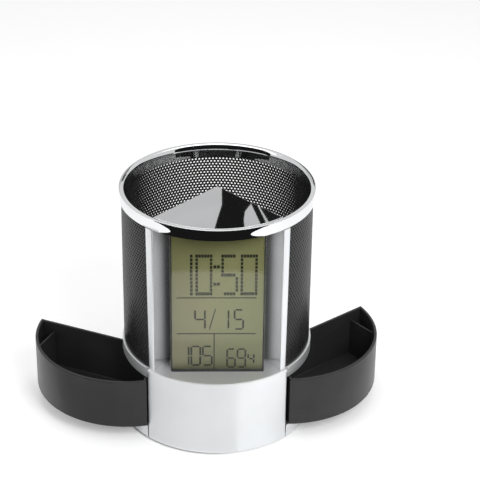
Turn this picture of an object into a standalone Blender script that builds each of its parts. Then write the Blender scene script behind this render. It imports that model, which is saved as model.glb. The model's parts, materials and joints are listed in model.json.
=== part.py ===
"""Desk pen holder with a digital clock and two swinging drawers.

A mesh cup stands on a silver deck. A silver column at the front carries the clock, and a
chromed ring and hood close the top. Below the deck two D-shaped drawers swing out on
upright pins, one on each side of a dividing wall. Batteries and setting buttons sit in
the base. Lengths are in metres, +Z is up, the clock faces -Y, and the origin is on the
table under the middle of the base.
"""
import math

import bmesh
import bpy

# The cup's radius, which carries the whole plan
MESH_RADIUS = 0.0475

# Base and drawer bay; proud sizes are measured from the cup outwards, one ring to the next
FOOT_HEIGHT = 0.0009
DECK_PROUD = 0.0009
BASE_PROUD = 0.0013
BASE_HEIGHT = 0.0069
BASE_SKIN = 0.0016
BASE_WALL = 0.0020
BAY_HEIGHT = 0.0277
DECK_HEIGHT = 0.0060
DECK_PLATE = 0.0015
DECK_SKIRT = 0.0029
DIVIDER_WIDTH = 0.0136
DIVIDER_WALL = 0.0015
DIVIDER_SOLID_END = 0.0184

# Fits
GAP = 0.0003
RUNNING_GAP = 0.0005
PIN_GAP = 0.0003
OVERRUN = 0.0010

# Drawers
DRAWER_WALL = 0.0015
DRAWER_FLOOR = 0.0015
DRAWER_GAP = 0.00035
PIVOT_TURN = math.radians(43.71)
PIVOT_BOSS_RADIUS = 0.0035
PIN_RADIUS = 0.00125
PIN_SEAT = 0.0026
RIB_WALL = 0.0010
RIB_FROM_BACK = 0.0078
RIB_BELOW_RIM = 0.0050
OPEN_STOP = math.radians(68.0)
LEFT_OPEN = math.radians(65.0)
RIGHT_OPEN = math.radians(51.5)

# Front housing: band round the base, ledge, hollow column and its two edge strips
BAND_WALL = 0.0017
BAND_ABOVE_DECK = 0.0004
STOP_OFFSET = 0.0032
LEDGE_THICKNESS = 0.0017
LEDGE_BITE = 0.0009
COLUMN_HEIGHT = 0.0791
TROUGH_DEPTH = 0.01785
TROUGH_WALL = 0.0016
STRIP_THICKNESS = 0.0009
STRIP_WIDTH = 0.0025
STRIP_TAPER = 0.0007
STRIP_OVERLAP = 0.0008

# Cup, ring and hood
MESH_WALL = 0.0006
MESH_SEAT = 0.0013
MESH_END_ANGLE = math.radians(43.3)
MESH_COLUMNS = 12
MESH_ROWS = 5
MESH_COLUMN_STEPS = 8
MESH_OPENING_STEPS = 4
MESH_BAR = 0.0053
MESH_FOOT_BORDER = 0.0030
MESH_HEAD_BORDER = 0.0050
RING_PROUD = 0.0011
RING_HEIGHT = 0.0055
RING_SKIRT = 0.0014
RING_TOP_WALL = 0.0016
RING_WALL = 0.0008
RING_ROUND = 0.0006
RING_LEAN = 0.0005
HOOD_ANGLE = math.radians(43.2)
HOOD_CLEAR_ANGLE = math.radians(45.0)
HOOD_HEIGHT = 0.0045
HOOD_PLATE = 0.0014
HOOD_SKIRT = 0.0013
HOOD_BELOW_RING = 0.0009
BACK_WALL = 0.0015

# Clock module
LENS_SIDE_GAP = 0.0085
LENS_INSET = 0.0088
LENS_DEPTH = 0.0108
LENS_WALL = 0.0015
LENS_FACE = 0.0020
MODULE_GAP = 0.0004
LCD_THICKNESS = 0.0018
HOLDER_THICKNESS = 0.0021
HOLDER_BORDER = 0.0042
ZEBRA_HEIGHT = 0.0022
ZEBRA_INSET = 0.0019
BOARD_THICKNESS = 0.0014
BOARD_SCREW_INSET = 0.0020
CHIP_SIZE = 0.0120
CHIP_THICKNESS = 0.0012
CRYSTAL_RADIUS = 0.0010
CRYSTAL_LENGTH = 0.0060
BUZZER_RADIUS = 0.0075
BUZZER_THICKNESS = 0.0030
SENSOR_RADIUS = 0.0010
CHIP_HEIGHT_SHARE = 0.40
CRYSTAL_PLACE_SHARES = (0.50, 0.38)
BUZZER_HEIGHT_SHARE = 0.76
SENSOR_PLACE_SHARES = (-0.68, 0.08)

# Bottom cover, feet, battery and buttons
COVER_INSET = 0.0045
COVER_THICKNESS = 0.0016
FOOT_RADIUS = 0.0040
FOOT_SEAT = 0.0006
FOOT_INSET = 0.0070
CELL_RADIUS = 0.0058
CELL_THICKNESS = 0.00305
CELL_SPACING = 0.0010
TRAY_WALL = 0.0012
CONTACT_THICKNESS = 0.00025
CONTACT_WIDTH = 0.0060
SPRING_GAP = 0.0002
DOOR_THICKNESS = 0.0014
DOOR_GRIP_RADIUS = 0.0030
DOOR_GRIP_DEPTH = 0.0005
BUTTON_RADIUS = 0.0022
BUTTON_PROUD = 0.0004
BUTTON_FLANGE = 0.0010
BUTTON_FLANGE_THICKNESS = 0.0007
BUTTON_TRAVEL = 0.0006
BUTTON_PITCH = 0.0100
BUTTON_ROW_INSET = 0.0272
PAD_THICKNESS = 0.0005
PAD_SPARE = 0.0001
SWITCH_BOARD_THICKNESS = 0.0009
SWITCH_BOARD_DEPTH = 0.0080
RAIL_WIDTH = 0.0024

# Fasteners and wires
SCREW_RADIUS = 0.0011
SCREW_HEAD_RADIUS = 0.0021
SCREW_HEAD_HEIGHT = 0.0010
SCREW_SLOT = 0.0006
SCREW_GAP = 0.0003
SCREW_LENGTH = 0.0110
COVER_SCREW_LENGTH = 0.0050
HOUSING_SCREW_LENGTH = 0.0032
BOARD_SCREW_LENGTH = 0.0028
BOARD_SCREW_RADIUS = 0.0008
BOARD_SCREW_HEAD = 0.0016
COVER_SCREW_INSET = 0.0072
COVER_BOSS_RADIUS = 0.0032
BASE_SCREW_FROM_END = 0.0155
DECK_SCREW_FROM_END = 0.0072
HOUSING_SCREW_X = 0.0140
HOUSING_SCREW_INSET = 0.0095
COLUMN_SCREW_Y = 0.0090
COLUMN_BOSS_RADIUS = 0.0036
COLUMN_BOSS_HEIGHT = 0.0100
CABLE_RADIUS = 0.0008
CABLE_HOLE_RADIUS = 0.0030
CABLE_FROM_TROUGH = 0.0047
CABLE_FOOT_INSET = 0.0010
CABLE_CLIMB = 0.0125
LEAD_RADIUS = 0.00045
LEAD_OFFSET = 0.0040
LEAD_SAG = 0.0006

# Counts
ROUND_STEPS = 96
SMALL_STEPS = 24
SCREW_STEPS = 14
WIRE_STEPS = 4

# Levels, from the table up
BASE_BOTTOM = FOOT_HEIGHT
BASE_TOP = BASE_BOTTOM + BASE_HEIGHT
BASE_CEILING = BASE_TOP - BASE_SKIN
COVER_TOP = BASE_BOTTOM + COVER_THICKNESS
DECK_BOTTOM = BASE_TOP + BAY_HEIGHT
DECK_TOP = DECK_BOTTOM + DECK_HEIGHT
DRAWER_BOTTOM = BASE_TOP + DRAWER_GAP
DRAWER_TOP = DECK_BOTTOM - DRAWER_GAP
BAND_TOP = DECK_TOP + BAND_ABOVE_DECK
LEDGE_BOTTOM = BAND_TOP - LEDGE_THICKNESS
DECK_FRONT_TOP = LEDGE_BOTTOM - GAP
DECK_POCKET_TOP = DECK_BOTTOM + DECK_SKIRT
COLUMN_TOP = BAND_TOP + COLUMN_HEIGHT
RING_BOTTOM = COLUMN_TOP + GAP
RING_TOP = RING_BOTTOM + RING_HEIGHT
MESH_BOTTOM = DECK_TOP - MESH_SEAT
MESH_TOP = RING_TOP - RING_TOP_WALL - GAP
HOOD_TOP = RING_TOP - HOOD_BELOW_RING
HOOD_BOTTOM = HOOD_TOP - HOOD_HEIGHT
LENS_BOTTOM = BAND_TOP + GAP
LENS_TOP = COLUMN_TOP - GAP

# Plan sizes that follow from the driving ones
DECK_RADIUS = MESH_RADIUS + DECK_PROUD
BASE_RADIUS = DECK_RADIUS + BASE_PROUD
RING_RADIUS = MESH_RADIUS + RING_PROUD
BAND_INNER = BASE_RADIUS - BAND_WALL
DRAWER_FRONT_RADIUS = BAND_INNER - RUNNING_GAP
PIVOT_REACH = DRAWER_FRONT_RADIUS - PIVOT_BOSS_RADIUS
PIVOT_X = PIVOT_REACH * math.cos(PIVOT_TURN)
PIVOT_Y = PIVOT_REACH * math.sin(PIVOT_TURN)
BAND_HALF_WIDTH = PIVOT_X + STOP_OFFSET - GAP
DIVIDER_HALF = DIVIDER_WIDTH / 2
CHORD_X = DIVIDER_HALF + RUNNING_GAP
NOSE_RADIUS = PIVOT_X - CHORD_X
DIVIDER_FRONT = -(BAND_INNER - RUNNING_GAP - GAP)
DIVIDER_BACK = DECK_RADIUS
STRIP_OUTER = MESH_RADIUS + GAP + STRIP_THICKNESS
STRIP_HALF_WIDTH_TOP = BAND_HALF_WIDTH
STRIP_HALF_WIDTH_FOOT = BAND_HALF_WIDTH - STRIP_TAPER
TROUGH_HALF_WIDTH = STRIP_HALF_WIDTH_FOOT - STRIP_WIDTH
TROUGH_FLOOR = math.sqrt(STRIP_OUTER ** 2 - TROUGH_HALF_WIDTH ** 2) - TROUGH_DEPTH
TROUGH_RADIUS = (TROUGH_HALF_WIDTH ** 2 + TROUGH_DEPTH ** 2) / (2 * TROUGH_DEPTH)
TROUGH_CENTRE = TROUGH_FLOOR + TROUGH_RADIUS
TROUGH_BACK = TROUGH_RADIUS + TROUGH_WALL
LENS_HALF_WIDTH = TROUGH_HALF_WIDTH - LENS_SIDE_GAP
LENS_FRONT = MESH_RADIUS - LENS_INSET
MODULE_HALF_WIDTH = LENS_HALF_WIDTH - LENS_WALL - MODULE_GAP
MODULE_BOTTOM = LENS_BOTTOM + LENS_WALL + MODULE_GAP
MODULE_TOP = LENS_TOP - LENS_WALL - MODULE_GAP
LCD_FRONT = -LENS_FRONT + LENS_FACE + GAP
HOLDER_FRONT = LCD_FRONT + LCD_THICKNESS + GAP
BOARD_FRONT = HOLDER_FRONT + HOLDER_THICKNESS + GAP
BOARD_BACK = BOARD_FRONT + BOARD_THICKNESS
PARTS_FRONT = BOARD_BACK + GAP
COVER_RADIUS = BASE_RADIUS - COVER_INSET
COVER_SCREW_OFFSET = COVER_RADIUS - COVER_SCREW_INSET
FOOT_OFFSET = (COVER_RADIUS - FOOT_INSET) / math.sqrt(2)
BUTTON_ROW_Y = COVER_RADIUS - BUTTON_ROW_INSET
HOUSING_SCREW_Y = MESH_RADIUS - HOUSING_SCREW_INSET
BASE_SCREW_BACK = DIVIDER_BACK - BASE_SCREW_FROM_END - COVER_BOSS_RADIUS
BATTERY_CENTRE_Y = (BASE_SCREW_BACK - SCREW_HEAD_RADIUS + FOOT_RADIUS + GAP) / 2
CABLE_LINE_Y = TROUGH_FLOOR + CABLE_FROM_TROUGH
CABLE_FOOT_Y = BUTTON_ROW_Y + SWITCH_BOARD_DEPTH / 2 - CABLE_FOOT_INSET
CELL_BOTTOM = BASE_BOTTOM + DOOR_THICKNESS + SPRING_GAP
CELL_TOP = CELL_BOTTOM + CELL_THICKNESS
CELL_X = CELL_RADIUS + CELL_SPACING / 2
TRAY_HALF_WIDTH = CELL_X + CELL_RADIUS + CONTACT_THICKNESS + 2 * GAP
TRAY_HALF_DEPTH = CELL_RADIUS + GAP
SWITCH_BOARD_BOTTOM = BASE_CEILING - GAP - SWITCH_BOARD_THICKNESS
SWITCH_HALF_WIDTH = 1.5 * BUTTON_PITCH + BUTTON_RADIUS + BUTTON_FLANGE + RAIL_WIDTH + GAP


# Outlines, as lists of (x, y) that run anticlockwise

def arc(centre, radius, start, end, steps=None):
    """Points on a circle from angle start to angle end, both ends included."""
    if steps is None:
        steps = max(2, math.ceil(ROUND_STEPS * abs(end - start) / math.tau))
    sweep = [start + (end - start) * i / steps for i in range(steps + 1)]
    return [(centre[0] + radius * math.cos(a), centre[1] + radius * math.sin(a)) for a in sweep]


def disc(radius, centre=(0, 0), steps=ROUND_STEPS):
    """A full circle, without the repeated last point."""
    return arc(centre, radius, 0, math.tau, steps)[:-1]


def rectangle(x_low, x_high, y_low, y_high):
    return [(x_low, y_low), (x_high, y_low), (x_high, y_high), (x_low, y_high)]


def notched_disc(radius, notch_half, notch_radius):
    """A disc whose front edge steps in to a smaller radius where the band covers it."""
    wide = math.asin(notch_half / radius)
    narrow = math.asin(notch_half / notch_radius)
    front = -math.pi / 2
    body = arc((0, 0), radius, front + wide, front + math.tau - wide)
    return body + arc((0, 0), notch_radius, front - narrow, front + narrow)


def angle_of(point, centre=(0, 0)):
    return math.atan2(point[1] - centre[1], point[0] - centre[0])


def meet_circles(centre_a, radius_a, centre_b, radius_b, side):
    """Where two circles cross; side +1 or -1 picks the left or right one, seen from a to b."""
    dx, dy = centre_b[0] - centre_a[0], centre_b[1] - centre_a[1]
    apart = math.hypot(dx, dy)
    along = (radius_a ** 2 - radius_b ** 2 + apart ** 2) / (2 * apart)
    across = side * math.sqrt(radius_a ** 2 - along ** 2)
    return (centre_a[0] + (along * dx - across * dy) / apart,
            centre_a[1] + (along * dy + across * dx) / apart)


def meet_line(point, heading, radius):
    """Where a line through point first leaves the circle about the origin, along heading."""
    ux, uy = math.cos(heading), math.sin(heading)
    near = point[0] * ux + point[1] * uy
    reach = -near + math.sqrt(near ** 2 - math.hypot(*point) ** 2 + radius ** 2)
    return (point[0] + reach * ux, point[1] + reach * uy)


# Scene, materials and solids

def clear_scene():
    for old in list(bpy.data.objects):
        bpy.data.objects.remove(old, do_unlink=True)


def make_material(name, colour, roughness, metallic=0.0, clear=0.0):
    material = bpy.data.materials.new(name)
    material.use_nodes = True
    shader = material.node_tree.nodes["Principled BSDF"]
    shader.inputs["Base Color"].default_value = (*colour, 1)
    shader.inputs["Roughness"].default_value = roughness
    shader.inputs["Metallic"].default_value = metallic
    shader.inputs["Transmission Weight"].default_value = clear
    return material


def mesh_object(name, mesh_data, material, place=(0, 0, 0), turn=(0, 0, 0)):
    """Put a bmesh into a named object with its own material."""
    bmesh.ops.recalc_face_normals(mesh_data, faces=mesh_data.faces)
    mesh = bpy.data.meshes.new(name)
    mesh_data.to_mesh(mesh)
    mesh_data.free()
    mesh.shade_smooth()
    mesh.set_sharp_from_angle(angle=math.radians(30))
    solid = bpy.data.objects.new(name, mesh)
    bpy.context.scene.collection.objects.link(solid)
    solid.location = place
    solid.rotation_euler = turn
    if material is not None:
        mesh.materials.append(material)
    return solid


def prism(name, outline, low, high, material=None, top_outline=None, place=(0, 0, 0), turn=(0, 0, 0)):
    """An upright prism from low to high; a second outline of as many points tapers it."""
    mesh_data = bmesh.new()
    foot = [mesh_data.verts.new((x, y, low)) for x, y in outline]
    head = [mesh_data.verts.new((x, y, high)) for x, y in top_outline or outline]
    mesh_data.faces.new(foot[::-1])
    mesh_data.faces.new(head)
    count = len(outline)
    sides = []
    for i in range(count):
        j = (i + 1) % count
        sides.append(mesh_data.faces.new((foot[i], foot[j], head[j], head[i])))
    if top_outline:
        bmesh.ops.triangulate(mesh_data, faces=sides)
    return mesh_object(name, mesh_data, material, place, turn)


def block(name, x_span, y_span, z_span, material=None):
    return prism(name, rectangle(*x_span, *y_span), *z_span, material)


def turned(name, profile, steps, material=None, place=(0, 0, 0), turn=(0, 0, 0)):
    """A closed profile of (radius, z) points spun once round +Z."""
    mesh_data = bmesh.new()
    points = [mesh_data.verts.new((r, 0, z)) for r, z in profile]
    edges = [mesh_data.edges.new((points[i - 1], points[i])) for i in range(len(points))]
    bmesh.ops.spin(mesh_data, geom=points + edges, cent=(0, 0, 0), axis=(0, 0, 1),
                   dvec=(0, 0, 0), angle=math.tau, steps=steps, use_merge=True)
    bmesh.ops.remove_doubles(mesh_data, verts=mesh_data.verts, dist=GAP / ROUND_STEPS)
    return mesh_object(name, mesh_data, material, place, turn)


def combine(target, tool, operation):
    """Join or cut with a hidden helper solid."""
    tool.hide_render = True
    tool.display_type = "WIRE"
    step = target.modifiers.new(tool.name, "BOOLEAN")
    step.operation = operation
    step.solver = "EXACT"
    step.object = tool
    return target


def cut(target, *tools):
    for tool in tools:
        combine(target, tool, "DIFFERENCE")
    return target


def join(target, *tools):
    for tool in tools:
        combine(target, tool, "UNION")
    return target


def hole(name, radius, x, y, low, high, steps=SMALL_STEPS):
    return prism(name, disc(radius, (x, y), steps), low, high)


def screw(name, length, radius, head_radius, head_height, place, turn, material):
    """A slotted pan head screw: its head sits on local z = 0 and its shank runs down -Z."""
    edge = head_height / 3
    profile = [(radius / 2, -length), (radius, -length + radius), (radius, 0), (head_radius, 0),
               (head_radius, head_height - edge), (head_radius - edge, head_height),
               (0, head_height), (0, -length)]
    solid = turned(name, profile, SCREW_STEPS, material, place, turn)
    half = SCREW_SLOT / 2
    slot = prism(name + "_slot", rectangle(-head_radius, head_radius, -half, half),
                 head_height / 2, head_height + OVERRUN, place=place, turn=turn)
    return cut(solid, slot)


def smooth_route(points, steps):
    """A curve through every point, with Catmull and Rom's cubic between neighbours."""
    route = []
    ends = [points[0]] + list(points) + [points[-1]]
    for i in range(1, len(ends) - 2):
        before, here, there, after = ends[i - 1:i + 3]
        for k in range(steps):
            t = k / steps
            route.append(tuple(
                (2 * b + (c - a) * t + (2 * a - 5 * b + 4 * c - d) * t ** 2
                 + (3 * b - a - 3 * c + d) * t ** 3) / 2
                for a, b, c, d in zip(before, here, there, after)))
    return route + [tuple(points[-1])]


def wire(name, points, radius, material):
    """A round wire with closed ends along a smooth route."""
    curve = bpy.data.curves.new(name, "CURVE")
    curve.dimensions = "3D"
    curve.bevel_depth = radius
    curve.bevel_resolution = 2
    curve.use_fill_caps = True
    route = smooth_route(points, WIRE_STEPS)
    line = curve.splines.new("POLY")
    line.points.add(len(route) - 1)
    for node, (x, y, z) in zip(line.points, route):
        node.co = (x, y, z, 1)
    solid = bpy.data.objects.new(name, curve)
    bpy.context.scene.collection.objects.link(solid)
    curve.materials.append(material)
    return solid


# Where the screws go

def cover_screw_places():
    reach = COVER_SCREW_OFFSET
    return [(reach, 0), (0, reach), (-reach, 0), (0, -reach)]


def base_screw_places():
    return [DIVIDER_FRONT + BASE_SCREW_FROM_END, BASE_SCREW_BACK]


def deck_screw_places():
    return [DIVIDER_FRONT + DECK_SCREW_FROM_END, DIVIDER_BACK - DECK_SCREW_FROM_END]


# Base: plate, cover, feet

def base_plate(material):
    """A shallow silver tray, open below, with a step that takes the front band."""
    notch = (BAND_HALF_WIDTH + GAP, BAND_INNER - GAP)
    plate = prism("base_plate", notched_disc(BASE_RADIUS, *notch), BASE_BOTTOM, BASE_TOP, material)
    inside = notched_disc(BASE_RADIUS - BASE_WALL, notch[0] + BASE_WALL, notch[1] - BASE_WALL)
    cut(plate, prism("base_cavity", inside, BASE_BOTTOM - OVERRUN, BASE_CEILING))
    mid_skin = BASE_CEILING + BASE_SKIN / 2
    boss_bottom = COVER_TOP + GAP
    pin_floor = BASE_TOP - PIN_SEAT - PIN_GAP
    for i, (x, y) in enumerate(cover_screw_places()):
        join(plate, hole(f"base_boss_{i}", COVER_BOSS_RADIUS, x, y, boss_bottom, mid_skin))
    for side in (-1, 1):
        join(plate, hole(f"base_pin_boss_{side}", PIVOT_BOSS_RADIUS, side * PIVOT_X, -PIVOT_Y,
                         pin_floor - GAP, mid_skin))
        cut(plate, hole(f"base_pin_bore_{side}", PIN_RADIUS + PIN_GAP, side * PIVOT_X, -PIVOT_Y,
                        pin_floor, BASE_TOP + OVERRUN))
    bore = SCREW_RADIUS + SCREW_GAP
    for i, (x, y) in enumerate(cover_screw_places()):
        cut(plate, hole(f"base_boss_bore_{i}", bore, x, y, boss_bottom - OVERRUN, mid_skin,
                        SCREW_STEPS))
    for i, y in enumerate(base_screw_places()):
        cut(plate, hole(f"base_screw_bore_{i}", bore, 0, y, BASE_CEILING - OVERRUN,
                        BASE_TOP + OVERRUN, SCREW_STEPS))
    cable_y = -(CABLE_FOOT_Y + CABLE_HOLE_RADIUS / 2)
    cut(plate, hole("base_cable_hole", CABLE_HOLE_RADIUS, 0, cable_y,
                    BASE_CEILING - OVERRUN, BASE_TOP + OVERRUN))
    return plate


def button_places():
    return [((i - 1.5) * BUTTON_PITCH, -BUTTON_ROW_Y) for i in range(4)]


def bottom_cover(material):
    """The round cover under the base, with the battery tray, button holes and board rails."""
    cover = prism("bottom_cover", disc(COVER_RADIUS), BASE_BOTTOM, COVER_TOP, material)
    low, high = BASE_BOTTOM - OVERRUN, COVER_TOP + OVERRUN
    half_x, half_y = TRAY_HALF_WIDTH, TRAY_HALF_DEPTH
    near, far = BATTERY_CENTRE_Y - half_y, BATTERY_CENTRE_Y + half_y
    wall = TRAY_WALL
    seat = COVER_TOP - COVER_THICKNESS / 2
    join(cover, block("tray_block", (-half_x - wall, half_x + wall), (near - wall, far + wall),
                      (seat, CELL_TOP + GAP)))
    cut(cover, block("tray_hollow", (-half_x, half_x), (near, far), (low, CELL_TOP + OVERRUN)))
    board_edge = SWITCH_HALF_WIDTH - RAIL_WIDTH
    for side in (-1, 1):
        span = sorted((side * board_edge, side * SWITCH_HALF_WIDTH))
        join(cover, block(f"board_rail_{side}", span,
                          (-BUTTON_ROW_Y - SWITCH_BOARD_DEPTH / 2, -BUTTON_ROW_Y + SWITCH_BOARD_DEPTH / 2),
                          (seat, SWITCH_BOARD_BOTTOM - GAP)))
    for i, (x, y) in enumerate(button_places()):
        cut(cover, hole(f"button_hole_{i}", BUTTON_RADIUS + GAP, x, y, low, high))
    for i, (x, y) in enumerate(cover_screw_places()):
        cut(cover,
            hole(f"cover_bore_{i}", SCREW_RADIUS + SCREW_GAP, x, y, low, high, SCREW_STEPS),
            hole(f"cover_sink_{i}", SCREW_HEAD_RADIUS + SCREW_GAP, x, y, low,
                 BASE_BOTTOM + SCREW_HEAD_HEIGHT + SCREW_GAP / 2, SCREW_STEPS))
    for i, (x, y) in enumerate(foot_places()):
        cut(cover, hole(f"foot_seat_{i}", FOOT_RADIUS + GAP, x, y, low,
                        BASE_BOTTOM + FOOT_SEAT + GAP))
    return cover


def foot_places():
    reach = FOOT_OFFSET
    return [(-reach, -reach), (reach, -reach), (-reach, reach), (reach, reach), (0, 0)]


def feet(material):
    names = ("foot_front_left", "foot_front_right", "foot_back_left", "foot_back_right",
             "foot_centre")
    edge = FOOT_SEAT / 2
    profile = [(0, 0), (FOOT_RADIUS - edge, 0), (FOOT_RADIUS, edge),
               (FOOT_RADIUS, BASE_BOTTOM + FOOT_SEAT), (0, BASE_BOTTOM + FOOT_SEAT)]
    for name, (x, y) in zip(names, foot_places()):
        turned(name, profile, SMALL_STEPS, material, place=(x, y, 0))


# Battery and its door

def battery(steel, brass, cover_plastic):
    for i, side in enumerate((-1, 1)):
        edge = CELL_THICKNESS / 5
        profile = [(0, 0), (CELL_RADIUS - edge, 0), (CELL_RADIUS, edge),
                   (CELL_RADIUS, CELL_THICKNESS), (0, CELL_THICKNESS)]
        turned(f"battery_cell_{i + 1}", profile, SMALL_STEPS + SMALL_STEPS // 2, steel,
               place=(side * CELL_X, BATTERY_CENTRE_Y, CELL_BOTTOM))
    half = CONTACT_WIDTH / 2
    link_z = (CELL_TOP + SPRING_GAP, CELL_TOP + SPRING_GAP + CONTACT_THICKNESS)
    block("battery_link_plate", (-CELL_X - half, CELL_X + half),
          (BATTERY_CENTRE_Y - half, BATTERY_CENTRE_Y + half), link_z, brass)
    for name, side in (("battery_contact_left", -1), ("battery_contact_right", 1)):
        inner = CELL_X + CELL_RADIUS + GAP
        span = sorted((side * inner, side * (inner + CONTACT_THICKNESS)))
        block(name, span, (BATTERY_CENTRE_Y - half, BATTERY_CENTRE_Y + half),
              (CELL_BOTTOM + GAP, CELL_TOP - GAP), brass)
    door = block("battery_door", (-TRAY_HALF_WIDTH + GAP, TRAY_HALF_WIDTH - GAP),
                 (0, 2 * (TRAY_HALF_DEPTH - GAP)), (0, DOOR_THICKNESS), cover_plastic)
    hinge_y = BATTERY_CENTRE_Y - TRAY_HALF_DEPTH + GAP
    door.location = (0, hinge_y, BASE_BOTTOM)
    cut(door, prism("door_grip", disc(DOOR_GRIP_RADIUS, (0, BATTERY_CENTRE_Y), SMALL_STEPS),
                    BASE_BOTTOM - OVERRUN, BASE_BOTTOM + DOOR_GRIP_DEPTH))


# Setting buttons and their board

def buttons(plastic, rubber, board):
    names = ("mode_button", "set_button", "up_button", "down_button")
    flange = BUTTON_RADIUS + BUTTON_FLANGE
    tip = BASE_BOTTOM - BUTTON_PROUD
    shoulder = COVER_TOP + GAP
    profile = [(0, tip), (BUTTON_RADIUS - GAP, tip), (BUTTON_RADIUS, tip + GAP),
               (BUTTON_RADIUS, shoulder), (flange, shoulder),
               (flange, shoulder + BUTTON_FLANGE_THICKNESS), (0, shoulder + BUTTON_FLANGE_THICKNESS)]
    for name, (x, y) in zip(names, button_places()):
        turned(name, profile, SMALL_STEPS, plastic, place=(x, y, 0))
    board_half = SWITCH_HALF_WIDTH
    pad_half = board_half - RAIL_WIDTH - GAP
    depth = (-BUTTON_ROW_Y - SWITCH_BOARD_DEPTH / 2, -BUTTON_ROW_Y + SWITCH_BOARD_DEPTH / 2)
    pad_low = shoulder + BUTTON_FLANGE_THICKNESS + BUTTON_TRAVEL + PAD_SPARE
    block("button_pad", (-pad_half, pad_half), depth, (pad_low, pad_low + PAD_THICKNESS), rubber)
    block("button_board", (-board_half, board_half), depth,
          (SWITCH_BOARD_BOTTOM, SWITCH_BOARD_BOTTOM + SWITCH_BOARD_THICKNESS), board)


# Dividing wall and deck

def divider_wall(material):
    """The wall between the drawers. It is hollow for the cable and solid at both ends."""
    turn = math.asin(DIVIDER_HALF / DIVIDER_BACK)
    corner = -math.sqrt((BAND_INNER - RUNNING_GAP) ** 2 - DIVIDER_HALF ** 2)
    outline = [(-DIVIDER_HALF, corner), (0, DIVIDER_FRONT), (DIVIDER_HALF, corner)]
    outline += arc((0, 0), DIVIDER_BACK, math.pi / 2 - turn, math.pi / 2 + turn)
    wall = prism("divider_wall", outline, BASE_TOP + GAP, DECK_BOTTOM - GAP, material)
    inner = DIVIDER_HALF - DIVIDER_WALL
    cut(wall, block("divider_hollow", (-inner, inner),
                    (DIVIDER_FRONT + DIVIDER_SOLID_END,
                     DIVIDER_BACK - DIVIDER_SOLID_END - COVER_BOSS_RADIUS),
                    (BASE_TOP - OVERRUN, DECK_BOTTOM - GAP - DIVIDER_WALL)))
    bore = SCREW_RADIUS + SCREW_GAP
    deep = SCREW_LENGTH + SCREW_GAP
    for i, y in enumerate(base_screw_places()):
        cut(wall, hole(f"divider_low_bore_{i}", bore, 0, y, BASE_TOP - OVERRUN,
                       BASE_CEILING + deep, SCREW_STEPS))
    for i, y in enumerate(deck_screw_places()):
        cut(wall, hole(f"divider_top_bore_{i}", bore, 0, y, DECK_BOTTOM - deep,
                       DECK_BOTTOM + OVERRUN, SCREW_STEPS))
    cut(wall, hole("divider_cable_hole", CABLE_HOLE_RADIUS, 0, -CABLE_LINE_Y,
                   DECK_BOTTOM - GAP - 2 * DIVIDER_WALL, DECK_BOTTOM + OVERRUN))
    return wall


def deck(material):
    """The silver floor of the cup, which also roofs the drawer bay."""
    notch = (BAND_HALF_WIDTH + GAP, BAND_INNER - GAP)
    plate = prism("deck", notched_disc(DECK_RADIUS, *notch), DECK_BOTTOM, DECK_TOP, material)
    seat = prism("deck_front_seat", disc(TROUGH_BACK + GAP, (0, -TROUGH_CENTRE)),
                 DECK_FRONT_TOP, DECK_TOP + OVERRUN)
    cut(plate, seat)
    reach = notch[1] - BASE_WALL
    edge = DIVIDER_HALF + RUNNING_GAP
    turn = math.acos(edge / reach)
    for side in (-1, 1):
        half_moon = arc((0, 0), reach, -turn, turn)
        if side < 0:
            half_moon = [(-x, y) for x, y in reversed(half_moon)]
        cut(plate, prism(f"deck_pocket_{side}", half_moon, DECK_BOTTOM - OVERRUN, DECK_POCKET_TOP))
    for side in (-1, 1):
        join(plate, hole(f"deck_pin_boss_{side}", PIVOT_BOSS_RADIUS, side * PIVOT_X, -PIVOT_Y,
                         DECK_BOTTOM, DECK_FRONT_TOP - DECK_PLATE / 2))
        cut(plate, hole(f"deck_pin_bore_{side}", PIN_RADIUS + PIN_GAP, side * PIVOT_X, -PIVOT_Y,
                        DECK_BOTTOM - OVERRUN, DECK_BOTTOM + PIN_SEAT + PIN_GAP))
    groove_low = MESH_BOTTOM - GAP
    start = -math.pi / 2 + MESH_END_ANGLE - GAP / MESH_RADIUS
    stop = math.pi * 3 / 2 - MESH_END_ANGLE + GAP / MESH_RADIUS
    groove = arc((0, 0), MESH_RADIUS + GAP, start, stop)
    groove += arc((0, 0), MESH_RADIUS - MESH_WALL - GAP, stop, start)
    cut(plate, prism("deck_groove", groove, groove_low, DECK_TOP + OVERRUN))
    bore = SCREW_RADIUS + SCREW_GAP
    sink = SCREW_HEAD_RADIUS + SCREW_GAP
    head = SCREW_HEAD_HEIGHT + SCREW_GAP
    tops = (DECK_FRONT_TOP, DECK_TOP)
    for i, (y, top) in enumerate(zip(deck_screw_places(), tops)):
        cut(plate,
            hole(f"deck_bore_{i}", bore, 0, y, DECK_BOTTOM - OVERRUN, top + OVERRUN, SCREW_STEPS),
            hole(f"deck_sink_{i}", sink, 0, y, top - head, top + OVERRUN, SCREW_STEPS))
    for side in (-1, 1):
        cut(plate, hole(f"housing_bore_{side}", bore, side * HOUSING_SCREW_X, -HOUSING_SCREW_Y,
                        DECK_BOTTOM - OVERRUN, DECK_TOP, SCREW_STEPS))
    cut(plate,
        hole("column_bore", bore, 0, -COLUMN_SCREW_Y, DECK_BOTTOM - OVERRUN, DECK_TOP + OVERRUN,
             SCREW_STEPS),
        hole("column_sink", sink, 0, -COLUMN_SCREW_Y, DECK_BOTTOM - OVERRUN, DECK_BOTTOM + head,
             SCREW_STEPS),
        hole("deck_cable_hole", CABLE_HOLE_RADIUS, 0, -CABLE_LINE_Y, DECK_BOTTOM - OVERRUN,
             DECK_TOP + OVERRUN))
    return plate


# Drawers and their pins

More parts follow.
